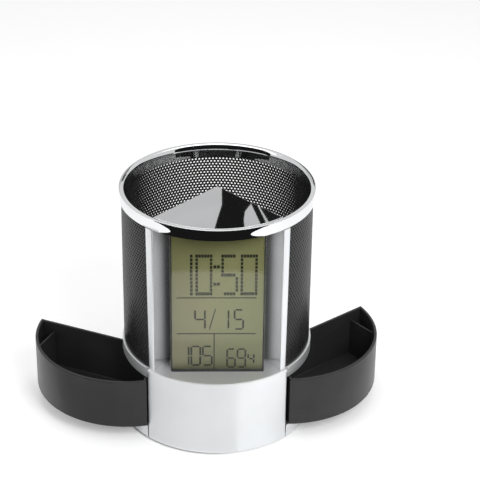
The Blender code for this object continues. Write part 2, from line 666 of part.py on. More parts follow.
def stop_corner(offset, radius):
    """The corner of a closed left drawer that meets the band's edge when it is fully open."""
    turn = -OPEN_STOP
    point = (-PIVOT_X - offset * math.cos(turn), -PIVOT_Y - offset * math.sin(turn))
    return meet_line(point, -math.pi / 2 + turn, radius)


def drawer_outline():
    """Outer edge of the closed left drawer, seen from above, relative to the base centre."""
    pivot = (-PIVOT_X, -PIVOT_Y)
    back = math.acos(-CHORD_X / DECK_RADIUS)
    corner = stop_corner(STOP_OFFSET, DECK_RADIUS)
    outline = arc((0, 0), DECK_RADIUS, back, angle_of(corner) % math.tau)
    lean = math.acos(STOP_OFFSET / PIVOT_BOSS_RADIUS)
    boss_start = math.pi + lean - OPEN_STOP
    boss_end = math.pi + math.atan2(PIVOT_Y, PIVOT_X)
    outline += arc(pivot, PIVOT_BOSS_RADIUS, boss_start, boss_end, SMALL_STEPS // 2)
    nose = meet_circles((0, 0), DRAWER_FRONT_RADIUS, pivot, NOSE_RADIUS, 1)
    outline += arc((0, 0), DRAWER_FRONT_RADIUS, boss_end, angle_of(nose) % math.tau)[1:]
    outline += arc(pivot, NOSE_RADIUS, angle_of(nose, pivot), 0)[1:]
    return outline


def drawer_hollow():
    """Inner edge of the same drawer, one wall inside, rounding the pivot boss."""
    pivot = (-PIVOT_X, -PIVOT_Y)
    outer = DECK_RADIUS - DRAWER_WALL
    chord = CHORD_X + DRAWER_WALL
    inset = STOP_OFFSET + DRAWER_WALL
    corner = stop_corner(inset, outer)
    outline = arc((0, 0), outer, math.acos(-chord / outer), angle_of(corner) % math.tau)
    front = DRAWER_FRONT_RADIUS - DRAWER_WALL
    nose_radius = NOSE_RADIUS - DRAWER_WALL
    root = meet_circles((0, 0), front, pivot, inset, 1)
    outline += arc(pivot, inset, math.pi - OPEN_STOP, angle_of(root, pivot), SMALL_STEPS // 2)
    nose = meet_circles((0, 0), front, pivot, nose_radius, 1)
    outline += arc((0, 0), front, angle_of(root) % math.tau, angle_of(nose) % math.tau)[1:]
    outline += arc(pivot, nose_radius, angle_of(nose, pivot), 0)[1:]
    return outline


def drawer(name, side, opened, material):
    """A D-shaped tray that turns about its pin; side -1 is the left one, +1 the right one."""
    def local(points):
        moved = [(x + PIVOT_X, y + PIVOT_Y) for x, y in points]
        return moved if side < 0 else [(-x, y) for x, y in reversed(moved)]

    place = (side * PIVOT_X, -PIVOT_Y, DRAWER_BOTTOM)
    turn = (0, 0, -side * opened)
    height = DRAWER_TOP - DRAWER_BOTTOM
    tray = prism(name, local(drawer_outline()), 0, height, material, place=place, turn=turn)
    cut(tray, prism(name + "_hollow", local(drawer_hollow()), DRAWER_FLOOR, height + OVERRUN,
                    place=place, turn=turn))
    rib_y = math.sqrt(DECK_RADIUS ** 2 - CHORD_X ** 2) - RIB_FROM_BACK
    rib_far = -math.sqrt((DECK_RADIUS - DRAWER_WALL / 2) ** 2 - rib_y ** 2)
    rib = local(rectangle(rib_far, -CHORD_X - DRAWER_WALL / 2, rib_y - RIB_WALL, rib_y))
    join(tray, prism(name + "_rib", rib, DRAWER_FLOOR / 2, height - RIB_BELOW_RIM,
                     place=place, turn=turn))
    bore = prism(name + "_bore", disc(PIN_RADIUS + PIN_GAP, steps=SMALL_STEPS), -OVERRUN,
                 height + OVERRUN, place=place, turn=turn)
    return cut(tray, bore)


def pivot_pin(name, side, material):
    low = BASE_TOP - PIN_SEAT
    length = DECK_BOTTOM + PIN_SEAT - low
    edge = PIN_RADIUS / 4
    profile = [(0, 0), (PIN_RADIUS - edge, 0), (PIN_RADIUS, edge), (PIN_RADIUS, length - edge),
               (PIN_RADIUS - edge, length), (0, length)]
    return turned(name, profile, SMALL_STEPS, material, place=(side * PIVOT_X, -PIVOT_Y, low))


# Front housing and the back of the column

def trough_outline(inner, outer):
    """A strip between two arcs about the trough's centre, ended by the strips' outer circle."""
    centre = (0, -TROUGH_CENTRE)
    reach = STRIP_OUTER - STRIP_THICKNESS / 4
    inner_end = meet_circles((0, 0), reach, centre, inner, 1)
    outer_end = meet_circles((0, 0), reach, centre, outer, 1)
    inner_angle = angle_of(inner_end, centre)
    outer_angle = angle_of(outer_end, centre)
    return (arc(centre, outer, outer_angle, math.pi - outer_angle)
            + arc(centre, inner, math.pi - inner_angle, inner_angle))


def strip_outline(side, outer_half):
    """One edge strip's plan: a short arc band from the trough's edge outwards."""
    centre = (0, -TROUGH_CENTRE)
    edge_x = meet_circles((0, 0), STRIP_OUTER, centre, TROUGH_RADIUS, 1)[0]
    inner_half = abs(edge_x) - GAP / 2
    low, high = MESH_RADIUS + GAP, STRIP_OUTER
    front = -math.pi / 2
    steps = SCREW_STEPS // 4
    outline = arc((0, 0), high, front + math.asin(inner_half / high),
                  front + math.asin(outer_half / high), steps)
    outline += arc((0, 0), low, front + math.asin(outer_half / low),
                   front + math.asin(inner_half / low), steps)
    return outline if side > 0 else [(-x, y) for x, y in reversed(outline)]


def front_housing(material):
    """The silver moulding: band, ledge, concave column and the strips along its edges."""
    turn = math.asin(BAND_HALF_WIDTH / BASE_RADIUS)
    inner_turn = math.asin(BAND_HALF_WIDTH / BAND_INNER)
    front = -math.pi / 2
    band = arc((0, 0), BASE_RADIUS, front - turn, front + turn)
    band += arc((0, 0), BAND_INNER, front + inner_turn, front - inner_turn)
    housing = prism("front_housing", band, BASE_BOTTOM, BAND_TOP, material)
    centre = (0, -TROUGH_CENTRE)
    ledge_radius = BASE_RADIUS - LEDGE_BITE
    ledge_back = TROUGH_BACK - TROUGH_WALL / 2
    end = meet_circles((0, 0), ledge_radius, centre, ledge_back, -1)
    left, right = sorted((end, (-end[0], end[1])))
    ledge = arc((0, 0), ledge_radius, angle_of(left) % math.tau, angle_of(right) % math.tau)
    ledge += arc(centre, ledge_back, angle_of(right, centre), angle_of(left, centre))[1:-1]
    join(housing, prism("ledge", ledge, LEDGE_BOTTOM, BAND_TOP))
    join(housing, prism("trough", trough_outline(TROUGH_RADIUS, TROUGH_BACK),
                        BAND_TOP - LEDGE_THICKNESS / 2, COLUMN_TOP - GAP))
    for side in (-1, 1):
        join(housing, prism(f"strip_{side}", strip_outline(side, STRIP_HALF_WIDTH_FOOT),
                            BAND_TOP - STRIP_OVERLAP, COLUMN_TOP,
                            top_outline=strip_outline(side, STRIP_HALF_WIDTH_TOP)))
    cut(housing, hole("ledge_cable_hole", CABLE_HOLE_RADIUS, 0, -CABLE_LINE_Y,
                      LEDGE_BOTTOM - OVERRUN, BAND_TOP + OVERRUN))
    for side in (-1, 1):
        cut(housing, hole(f"ledge_bore_{side}", SCREW_RADIUS + SCREW_GAP, side * HOUSING_SCREW_X,
                          -HOUSING_SCREW_Y, LEDGE_BOTTOM - OVERRUN, BAND_TOP - GAP, SCREW_STEPS))
    return housing


def wedge_outline(inset, reach):
    """A sector about the axis, its straight sides set in by inset, closed by an arc."""
    s, c = math.sin(HOOD_ANGLE), math.cos(HOOD_ANGLE)
    along = math.sqrt(reach ** 2 - inset ** 2)
    right = (along * s - inset * c, -along * c - inset * s)
    left = (-right[0], right[1])
    steps = ROUND_STEPS // 4
    front = arc((0, 0), reach, angle_of(left) % math.tau, angle_of(right) % math.tau, steps)
    return front + [(0, -inset / s)]


def rear_housing(material):
    """The V-shaped back of the column, inside the cup, with a screw boss at its foot."""
    low, high = DECK_TOP + GAP, HOOD_TOP - HOOD_PLATE - 2 * GAP
    outer_inset = HOOD_SKIRT + GAP
    inner_inset = outer_inset + BACK_WALL
    reach = MESH_RADIUS - MESH_WALL
    back = prism("rear_housing", wedge_outline(outer_inset, reach), low, high, material)
    cut(back, prism("rear_hollow", wedge_outline(inner_inset, reach + OVERRUN), low - OVERRUN,
                    high + OVERRUN))
    join(back, hole("column_boss", COLUMN_BOSS_RADIUS, 0, -COLUMN_SCREW_Y, low,
                    low + COLUMN_BOSS_HEIGHT))
    cut(back, prism("rear_trough_clearance", disc(TROUGH_BACK + GAP, (0, -TROUGH_CENTRE)),
                    low - OVERRUN, high + OVERRUN))
    cut(back, hole("rear_bore", SCREW_RADIUS + SCREW_GAP, 0, -COLUMN_SCREW_Y, low - OVERRUN,
                   low + COLUMN_BOSS_HEIGHT - GAP, SCREW_STEPS))
    return back


# Cup wall, ring and hood

def mesh_levels():
    """Heights of the mesh's foot, of each row of openings' foot and head, and of the mesh's top."""
    low, high = DECK_TOP + MESH_FOOT_BORDER, RING_BOTTOM - MESH_HEAD_BORDER
    pitch = (high - low + MESH_BAR) / MESH_ROWS
    levels = [MESH_BOTTOM]
    for row in range(MESH_ROWS):
        foot = low + row * pitch
        levels += [foot, foot + pitch - MESH_BAR]
    return levels + [MESH_TOP]


def mesh_wall(material):
    """The cup's wall: a sheet rolled round the deck, open where the column stands.

    A plain grid of openings stands for the fine mesh. The sheet is laid out in cells, a few
    steps wide for each column of openings, and every second row of cells has the openings.
    """
    levels = mesh_levels()
    steps = MESH_COLUMNS * MESH_COLUMN_STEPS
    bar_steps = (MESH_COLUMN_STEPS - MESH_OPENING_STEPS) // 2
    start, stop = -math.pi / 2 + MESH_END_ANGLE, math.pi * 3 / 2 - MESH_END_ANGLE
    sheet = bmesh.new()
    faces = []
    for radius in (MESH_RADIUS, MESH_RADIUS - MESH_WALL):
        plan = arc((0, 0), radius, start, stop, steps)
        faces.append([[sheet.verts.new((x, y, z)) for x, y in plan] for z in levels])
    outer, inner = faces

    def is_solid(row, step):
        within = 0 <= row < len(levels) - 1 and 0 <= step < steps
        beside = step % MESH_COLUMN_STEPS
        opening = row % 2 == 1 and bar_steps <= beside < bar_steps + MESH_OPENING_STEPS
        return within and not opening

    for row in range(len(levels) - 1):
        for step in range(steps):
            if not is_solid(row, step):
                continue
            corners = [(row, step), (row, step + 1), (row + 1, step + 1), (row + 1, step)]
            sheet.faces.new([outer[a][b] for a, b in corners])
            sheet.faces.new([inner[a][b] for a, b in reversed(corners)])
            beyond = [(row - 1, step), (row, step + 1), (row + 1, step), (row, step - 1)]
            for side, neighbour in enumerate(beyond):
                if not is_solid(*neighbour):
                    (a, b), (c, d) = corners[side], corners[(side + 1) % len(corners)]
                    sheet.faces.new((outer[a][b], inner[a][b], inner[c][d], outer[c][d]))
    return mesh_object("mesh_wall", sheet, material)


def rim_ring(material):
    """The chromed ring that caps the mesh and bridges the column."""
    slot_outer = MESH_RADIUS + GAP
    slot_inner = MESH_RADIUS - MESH_WALL - GAP
    inner = slot_inner - RING_WALL
    slot_top = RING_TOP - RING_TOP_WALL
    shoulder = RING_TOP - 2 * RING_ROUND
    profile = [(slot_outer, RING_BOTTOM), (RING_RADIUS - RING_LEAN, RING_BOTTOM),
               (RING_RADIUS, RING_BOTTOM + 2 * RING_ROUND), (RING_RADIUS, shoulder),
               (RING_RADIUS - RING_LEAN, RING_TOP - RING_ROUND / 2),
               (RING_RADIUS - 2 * RING_LEAN, RING_TOP), (inner + 2 * RING_LEAN, RING_TOP),
               (inner + RING_LEAN, RING_TOP - RING_ROUND / 2), (inner, shoulder),
               (inner - RING_LEAN, RING_BOTTOM - RING_SKIRT),
               (slot_inner - RING_LEAN, RING_BOTTOM - RING_SKIRT), (slot_inner, slot_top),
               (slot_outer, slot_top)]
    ring = turned("rim_ring", profile, ROUND_STEPS, material)
    turn = HOOD_CLEAR_ANGLE
    front = -math.pi / 2
    sector = arc((0, 0), inner - 2 * RING_LEAN, front + turn, front - turn)
    sector += arc((0, 0), slot_outer + GAP / 2, front - turn, front + turn)
    return cut(ring, prism("ring_front_gap", sector, RING_BOTTOM - RING_SKIRT - OVERRUN,
                           RING_BOTTOM))


def hood(material):
    """The chromed sector that roofs the column, a shallow tray turned upside down."""
    reach = MESH_RADIUS - MESH_WALL - GAP - RING_WALL - RING_LEAN - GAP
    cap = prism("hood", wedge_outline(0, reach), HOOD_BOTTOM, HOOD_TOP, material)
    return cut(cap, prism("hood_hollow", wedge_outline(HOOD_SKIRT, reach - HOOD_SKIRT),
                          HOOD_BOTTOM - OVERRUN, HOOD_TOP - HOOD_PLATE))


# Clock module

def clock_module(clear, glass, white, rubber, board, chip, metal, steel):
    """Lens, display, holder, contact strips and the board with what it carries."""
    lens = block("display_lens", (-LENS_HALF_WIDTH, LENS_HALF_WIDTH),
                 (-LENS_FRONT, -LENS_FRONT + LENS_DEPTH), (LENS_BOTTOM, LENS_TOP), clear)
    wide = LENS_HALF_WIDTH - LENS_WALL
    cut(lens, block("lens_hollow", (-wide, wide),
                    (-LENS_FRONT + LENS_FACE, -LENS_FRONT + LENS_DEPTH + OVERRUN),
                    (LENS_BOTTOM + LENS_WALL, LENS_TOP - LENS_WALL)))
    half = MODULE_HALF_WIDTH
    block("lcd_panel", (-half, half), (LCD_FRONT, LCD_FRONT + LCD_THICKNESS),
          (MODULE_BOTTOM, MODULE_TOP), glass)
    holder_y = (HOLDER_FRONT, HOLDER_FRONT + HOLDER_THICKNESS)
    holder_low = MODULE_BOTTOM + ZEBRA_HEIGHT + 2 * GAP
    holder_high = MODULE_TOP - ZEBRA_HEIGHT - 2 * GAP
    holder = block("lcd_holder", (-half, half), holder_y, (holder_low, holder_high), white)
    inner = half - HOLDER_BORDER
    cut(holder, block("holder_window", (-inner, inner),
                      (HOLDER_FRONT - OVERRUN, HOLDER_FRONT + HOLDER_THICKNESS + OVERRUN),
                      (holder_low + HOLDER_BORDER, holder_high - HOLDER_BORDER)))
    strip_half = half - ZEBRA_INSET
    block("zebra_strip_lower", (-strip_half, strip_half), holder_y,
          (MODULE_BOTTOM + GAP, MODULE_BOTTOM + GAP + ZEBRA_HEIGHT), rubber)
    block("zebra_strip_upper", (-strip_half, strip_half), holder_y,
          (MODULE_TOP - GAP - ZEBRA_HEIGHT, MODULE_TOP - GAP), rubber)
    main = block("main_board", (-half, half), (BOARD_FRONT, BOARD_BACK),
                 (MODULE_BOTTOM, MODULE_TOP), board)
    screw_x = half - BOARD_SCREW_INSET
    places = [(x, z) for z in (holder_low + BOARD_SCREW_INSET, holder_high - BOARD_SCREW_INSET)
              for x in (-screw_x, screw_x)]
    flat = (math.pi / 2, 0, 0)
    facing_back = (-math.pi / 2, 0, 0)
    for i, (x, z) in enumerate(places):
        reach = HOLDER_THICKNESS / 2 + BOARD_THICKNESS + GAP + OVERRUN
        bore = disc(BOARD_SCREW_RADIUS + SCREW_GAP, steps=SCREW_STEPS)
        for solid in (main, holder):
            tool = prism(f"{solid.name}_bore_{i}", bore, -OVERRUN - BOARD_THICKNESS, reach + GAP,
                         place=(x, BOARD_BACK - BOARD_THICKNESS / 2, z), turn=flat)
            cut(solid, tool)
        screw(f"board_screw_{i + 1}", BOARD_SCREW_LENGTH, BOARD_SCREW_RADIUS, BOARD_SCREW_HEAD,
              SCREW_HEAD_HEIGHT, (x, PARTS_FRONT, z), facing_back, steel)
    height = MODULE_TOP - MODULE_BOTTOM
    chip_z = MODULE_BOTTOM + CHIP_HEIGHT_SHARE * height
    block("clock_chip", (-CHIP_SIZE / 2, CHIP_SIZE / 2),
          (PARTS_FRONT, PARTS_FRONT + CHIP_THICKNESS),
          (chip_z - CHIP_SIZE / 2, chip_z + CHIP_SIZE / 2), chip)
    share_x, share_z = CRYSTAL_PLACE_SHARES
    edge = CRYSTAL_RADIUS / 4
    turned("quartz_crystal",
           [(0, 0), (CRYSTAL_RADIUS - edge, 0), (CRYSTAL_RADIUS, edge),
            (CRYSTAL_RADIUS, CRYSTAL_LENGTH - edge), (CRYSTAL_RADIUS - edge, CRYSTAL_LENGTH),
            (0, CRYSTAL_LENGTH)], SCREW_STEPS, metal,
           place=(share_x * half, PARTS_FRONT + CRYSTAL_RADIUS, MODULE_BOTTOM + share_z * height))
    rim = BUZZER_THICKNESS / 5
    turned("buzzer",
           [(0, 0), (BUZZER_RADIUS, 0), (BUZZER_RADIUS, BUZZER_THICKNESS - rim),
            (BUZZER_RADIUS - rim, BUZZER_THICKNESS), (0, BUZZER_THICKNESS)], SMALL_STEPS, chip,
           place=(0, PARTS_FRONT, MODULE_BOTTOM + BUZZER_HEIGHT_SHARE * height), turn=facing_back)
    share_x, share_z = SENSOR_PLACE_SHARES
    bead = [(SENSOR_RADIUS * math.sin(a), -SENSOR_RADIUS * math.cos(a))
            for a in (math.pi * i / 8 for i in range(9))]
    turned("temperature_sensor", bead, SCREW_STEPS, metal,
           place=(share_x * half, PARTS_FRONT + SENSOR_RADIUS, MODULE_BOTTOM + share_z * height))


# Fasteners and wires

def fasteners(steel):
    for i, (x, y) in enumerate(cover_screw_places()):
        screw(f"cover_screw_{i + 1}", COVER_SCREW_LENGTH, SCREW_RADIUS, SCREW_HEAD_RADIUS,
              SCREW_HEAD_HEIGHT - SCREW_GAP / 2,
              (x, y, BASE_BOTTOM + SCREW_HEAD_HEIGHT - SCREW_GAP / 2), (math.pi, 0, 0), steel)
    for name, y in zip(("base_screw_front", "base_screw_back"), base_screw_places()):
        screw(name, SCREW_LENGTH, SCREW_RADIUS, SCREW_HEAD_RADIUS, SCREW_HEAD_HEIGHT,
              (0, y, BASE_CEILING - SCREW_GAP), (math.pi, 0, 0), steel)
    tops = (DECK_FRONT_TOP, DECK_TOP)
    for name, y, top in zip(("deck_screw_front", "deck_screw_back"), deck_screw_places(), tops):
        screw(name, SCREW_LENGTH, SCREW_RADIUS, SCREW_HEAD_RADIUS, SCREW_HEAD_HEIGHT,
              (0, y, top - SCREW_HEAD_HEIGHT), (0, 0, 0), steel)
    for name, side in (("housing_screw_left", -1), ("housing_screw_right", 1)):
        screw(name, HOUSING_SCREW_LENGTH, SCREW_RADIUS, SCREW_HEAD_RADIUS, SCREW_HEAD_HEIGHT,
              (side * HOUSING_SCREW_X, -HOUSING_SCREW_Y, DECK_POCKET_TOP - SCREW_GAP),
              (math.pi, 0, 0), steel)
    screw("column_screw", SCREW_LENGTH, SCREW_RADIUS, SCREW_HEAD_RADIUS, SCREW_HEAD_HEIGHT,
          (0, -COLUMN_SCREW_Y, DECK_BOTTOM + SCREW_HEAD_HEIGHT), (math.pi, 0, 0), steel)


def wires(cable_plastic, lead_plastic):
    """The cable from the button board to the main board, and the lead from the battery."""
    low = BASE_CEILING + GAP
    bay = DECK_BOTTOM - BASE_TOP
    top = BAND_TOP + CABLE_CLIMB
    line = -CABLE_LINE_Y
    foot = -CABLE_FOOT_Y
    end_y = PARTS_FRONT
    reach = line - end_y
    wire("ribbon_cable",
         [(0, foot, low), (0, foot, low + BASE_SKIN), (0, (foot + line) / 2, BASE_TOP + bay / 3),
          (0, line, BASE_TOP + bay * 2 / 3), (0, line, DECK_BOTTOM), (0, line, DECK_TOP),
          (0, line, BAND_TOP + CABLE_CLIMB / 2), (0, line - reach / 6, top - CABLE_CLIMB / 5),
          (0, line - reach / 2, top), (0, end_y, top)], CABLE_RADIUS, cable_plastic)
    near = BATTERY_CENTRE_Y - TRAY_HALF_DEPTH - TRAY_WALL - GAP
    far = -BUTTON_ROW_Y + SWITCH_BOARD_DEPTH / 2 + GAP
    level = SWITCH_BOARD_BOTTOM + SWITCH_BOARD_THICKNESS / 2
    span = near - far
    wire("battery_lead",
         [(LEAD_OFFSET, near, level - LEAD_SAG), (LEAD_OFFSET, near - span / 6, level - LEAD_SAG),
          (LEAD_OFFSET, near - span / 2, level - 2 * LEAD_SAG),
          (LEAD_OFFSET, far + span / 6, level), (LEAD_OFFSET, far, level)],
         LEAD_RADIUS, lead_plastic)


def build():
    clear_scene()
    silver = make_material("silver_plastic", (0.72, 0.73, 0.75), 0.32, 0.35)
    black = make_material("black_plastic", (0.035, 0.035, 0.036), 0.42)
    cup_black = make_material("black_mesh", (0.02, 0.02, 0.02), 0.45, 0.2)
    chrome = make_material("chrome", (0.82, 0.83, 0.84), 0.06, 1.0)
    steel = make_material("steel", (0.62, 0.62, 0.62), 0.3, 1.0)
    brass = make_material("brass", (0.75, 0.6, 0.3), 0.35, 1.0)
    rubber = make_material("rubber", (0.03, 0.03, 0.03), 0.8)
    clear = make_material("clear_lens", (0.95, 0.96, 0.95), 0.04, 0.0, 0.9)
    display = make_material("lcd_glass", (0.34, 0.34, 0.22), 0.2)
    white = make_material("white_plastic", (0.85, 0.85, 0.82), 0.45)
    board = make_material("circuit_board", (0.05, 0.22, 0.1), 0.5)
    lead = make_material("red_wire", (0.6, 0.05, 0.04), 0.5)

    base_plate(silver)
    bottom_cover(black)
    feet(rubber)
    battery(steel, brass, black)
    buttons(white, rubber, board)
    divider_wall(silver)
    deck(silver)
    drawer("left_drawer", -1, LEFT_OPEN, black)
    drawer("right_drawer", 1, RIGHT_OPEN, black)
    pivot_pin("left_pivot_pin", -1, steel)
    pivot_pin("right_pivot_pin", 1, steel)
    front_housing(silver)
    rear_housing(black)
    mesh_wall(cup_black)
    rim_ring(chrome)
    hood(chrome)
    clock_module(clear, display, white, rubber, board, black, steel, steel)
    fasteners(steel)
    wires(white, lead)


build()
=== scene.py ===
import json
import math

import bpy
import numpy as np
from mathutils import Matrix, Vector

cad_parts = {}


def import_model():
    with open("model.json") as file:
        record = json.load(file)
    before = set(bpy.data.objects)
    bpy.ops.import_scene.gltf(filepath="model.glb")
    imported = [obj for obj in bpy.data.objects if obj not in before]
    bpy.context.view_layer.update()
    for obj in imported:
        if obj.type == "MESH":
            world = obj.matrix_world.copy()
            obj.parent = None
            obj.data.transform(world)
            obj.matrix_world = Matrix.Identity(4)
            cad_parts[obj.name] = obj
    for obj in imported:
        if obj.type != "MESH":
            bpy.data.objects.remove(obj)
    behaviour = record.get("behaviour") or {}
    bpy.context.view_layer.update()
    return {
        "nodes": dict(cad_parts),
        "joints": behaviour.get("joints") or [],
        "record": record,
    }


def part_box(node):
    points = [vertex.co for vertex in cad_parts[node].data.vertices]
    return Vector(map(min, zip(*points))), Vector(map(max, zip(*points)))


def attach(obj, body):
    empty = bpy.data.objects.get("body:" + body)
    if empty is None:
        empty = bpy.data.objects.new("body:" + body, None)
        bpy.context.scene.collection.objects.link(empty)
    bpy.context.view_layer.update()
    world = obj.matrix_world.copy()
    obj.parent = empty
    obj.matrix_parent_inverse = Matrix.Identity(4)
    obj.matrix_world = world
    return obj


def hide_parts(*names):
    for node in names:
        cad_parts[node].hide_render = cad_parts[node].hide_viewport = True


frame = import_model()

# Low and high corners from the frame, and the radii in them
BASE_LOW, BASE_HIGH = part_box("base_plate")
DECK_LOW, DECK_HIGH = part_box("deck")
HOUSING_LOW, HOUSING_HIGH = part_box("front_housing")
MESH_LOW, MESH_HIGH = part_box("mesh_wall")
RING_LOW, RING_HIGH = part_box("rim_ring")
HOOD_LOW, HOOD_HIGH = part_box("hood")
LENS_LOW, LENS_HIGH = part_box("display_lens")
PANEL_LOW, PANEL_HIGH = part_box("lcd_panel")
DRAWER_LOW, DRAWER_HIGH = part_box("left_drawer")
BASE_RADIUS = BASE_HIGH.x
DECK_RADIUS = DECK_HIGH.x
MESH_RADIUS = MESH_HIGH.x
RING_RADIUS = RING_HIGH.x
HINGES = {joint["name"]: joint for joint in frame["joints"]}

# Sizes of the pieces, in metres and radians. GAP lies between fixed pieces, RUNNING_GAP beside
# moving ones, and cutting tools reach OVERRUN past what they cut
FRONT = -math.pi / 2
GAP = 0.0003
RUNNING_GAP = 0.0005
OVERRUN = 0.0010
FINE_STEP = math.radians(1.5)
COARSE_STEP = FINE_STEP * 5
SHARP_ANGLE = math.radians(35)
CUT_SHARP_ANGLE = math.radians(28)
LEVEL_NORMAL = 0.9999
SOFT_EDGE = 0.0005
FINE_EDGE = 0.0003
BAND_CORNER = 0.0004
QUARTER_STEPS = 6

BASE_WALL = 0.0020
BASE_SKIN = 0.0016
DECK_SKIRT = 0.0029
SEAT_SINK = 0.0025
BAND_WALL = 0.0017
BAND_HALF = math.radians(44.3)
BAND_HALF_WIDTH = BASE_RADIUS * math.sin(BAND_HALF)
BAND_INNER = BASE_RADIUS - BAND_WALL
NOTCH = (BAND_HALF_WIDTH + GAP, BAND_INNER - GAP)
LEDGE_THICKNESS = 0.0017
LEDGE_TOP = DECK_HIGH.z + 0.0004
TROUGH_RADIUS = 0.03673
TROUGH_CENTRE = (0, -0.056015)
TROUGH_WALL = 0.0016
STRIP_OUTER = MESH_RADIUS + 0.0012
STRIP_INNER = MESH_RADIUS + GAP
STRIP_INNER_HALF = 0.0314
STRIP_FOOT_HALF = 0.0340
STRIP_TOP_HALF = 0.0347
OF_HOUSING = ("silver_plastic", "front_housing")

# The perforated sheet: length along its arc, plain borders, holes in staggered rows, with two
# corners for each of the six border points of a brick
MESH_WALL = 0.0006
MESH_END = math.radians(43.3)
MESH_START = FRONT + MESH_END
MESH_LENGTH = (math.tau - 2 * MESH_END) * MESH_RADIUS
PLAIN_END = 0.0020
PLAIN_FOOT = 0.0012
PLAIN_TOP = 0.0038
HOLE_RADIUS = 0.00054
HOLE_CORNERS = 12
HOLE_PITCH = 0.0018
ROW_HEIGHT = HOLE_PITCH * math.sqrt(3) / 2
HOLES_LOW = DECK_HIGH.z + PLAIN_FOOT
HOLE_COLUMNS = math.floor((MESH_LENGTH - 2 * PLAIN_END) / HOLE_PITCH)
HOLE_ROWS = math.floor((MESH_HIGH.z - PLAIN_TOP - HOLES_LOW) / ROW_HEIGHT)

# The ring's profile: inwards from its outer radius and down from its top
RING_STEPS = 360
RING_WALL_POINTS = 17
RING_ROUND_STEPS = 8
RING_BULGE = 0.000087
RING_ROUND = 0.0003
RING_SKIRT = 0.0014
RING_SLOPE = [(0.0006, 0.00004), (0.0021, 0.00022), (0.0024, 0.00045), (0.0026, 0.0009), (0.0034, 0.0036)]
SKIRT_INSIDE = 0.0034
SKIRT_OUTSIDE = 0.0026
RING_SLOT_INSIDE = 0.0020
RING_SLOT_OUTSIDE = 0.0009
RING_SLOT_ROOF = 0.0030
OVER_COLUMN = math.radians(45)
HOOD_HALF = math.radians(43.2)
HOOD_REACH = 0.0450
HOOD_SKIRT = 0.0013
HOOD_PLATE = 0.0014

PIVOT_BOSS_RADIUS = 0.0035
DIVIDER_HALF = 0.0068
STOP_OFFSET = 0.0032
OPEN_STOP = math.radians(68)
DRAWER_WALL = 0.0015
DRAWER_FLOOR = 0.0015
DRAWER_RIM = 0.0006
DRAWER_FLARE = 0.0005
RIB_WALL = 0.0010
RIB_FROM_BACK = 0.0078
RIB_BELOW_RIM = 0.0050

DISPLAY_HALF = 0.0222
DISPLAY_FOOT = 0.0429
DISPLAY_EDGE = 0.0010
COVER_WALL = 0.0007
COVER_FACE = 0.0020
COVER_CORNER = 0.0006
COVER_CORNER_STEP = math.radians(23)
# Where the surround's painted shade starts and ends, in depth
SHADE_START = LENS_HIGH.y - 0.0053
SHADE_END = LENS_HIGH.y - 0.0012
LCD_REFLECTION_ACROSS = (-DISPLAY_HALF, DISPLAY_HALF * 0.55)
LCD_SHADOW_UP = (DISPLAY_FOOT + 0.15 * (PANEL_HIGH.z - DISPLAY_FOOT), PANEL_HIGH.z)
LCD_FOOT_SHADE_SPAN = (DISPLAY_FOOT - 0.0035, DISPLAY_FOOT + 0.0040)
# Painted reflection: the display's tone at the left, lighter and warmer than at the right
LCD_LEFT_PAINTED_REFLECTION = (0.290, 0.275, 0.160, 1)
LCD_RIGHT = (0.235, 0.242, 0.126, 1)
# Painted shadow of the ring: the display's darker tone towards the top
LCD_TOP_PAINTED_SHADOW = (0.175, 0.175, 0.075, 1)
# Painted shade: the display's near black tone at its foot
LCD_FOOT_PAINTED_SHADE = (0.014, 0.016, 0.011, 1)

# The readout, as (x, z) places on the display
READOUT_HEIGHT = 0.00006
READOUT_SINK = 0.00002
TIME_TOP = 0.10705
TIME_DIGITS = [("1", -0.01970), ("0", -0.01017), ("5", 0.00228), ("0", 0.01162)]
DOT_PITCH = (0.00139, 0.00209)
DOT_SIZE = (0.00120, 0.00165)
COLON_ROWS = (0.1011, 0.0915)
COLON_COLUMNS = (-0.00140, 0.00030)
COLON_WIDTH = 0.00140
LINE_WIDTH = 0.00060
# Middle, width and height
FIELD_LINES = [(-0.0006, 0.0839, 0.0388, LINE_WIDTH), (-0.0006, 0.06355, 0.0388, LINE_WIDTH),
               (-0.00165, 0.0532, LINE_WIDTH, 0.0203)]
STROKE_WIDTH = 0.00085
# Digit, place of its lower left corner, width and height
SMALL_DIGITS = [("4", -0.0110, 0.0662, 0.0048, 0.0109), ("1", 0.0023, 0.0662, 0.0030, 0.0109),
                ("5", 0.0083, 0.0662, 0.0042, 0.0109), ("1", -0.0186, 0.0453, 0.0044, 0.0109),
                ("0", -0.0129, 0.0453, 0.0044, 0.0109), ("5", -0.0072, 0.0453, 0.0044, 0.0109),
                ("6", 0.0048, 0.0441, 0.0039, 0.0105), ("9", 0.0099, 0.0441, 0.0039, 0.0105),
                ("4", 0.0152, 0.0461, 0.0028, 0.0057)]
DATE_SLASH = [(-0.0042, 0.0660), (-0.0037, 0.0660), (-0.0008, 0.0777), (-0.0013, 0.0777)]
SEGMENTS = {"0": "abcdef", "1": "bc", "4": "fgbc", "5": "afgcd", "6": "afgedc", "9": "abcdfg"}
DOT_ROWS = {"0": ["111111"] + ["100001"] * 9 + ["111111"], "1": ["000001"] * 11,
            "5": ["111110"] + ["100000"] * 4 + ["111110"] + ["000001"] * 4 + ["011110"]}

# Room and camera
CAMERA_PLACE = Vector((-0.008648, -0.752228, 0.504709))
CAMERA_TARGET = Vector((0.011508, 0.0, 0.093076))
CAMERA_ROLL = 0.0118
CAMERA_LENS = 125.94
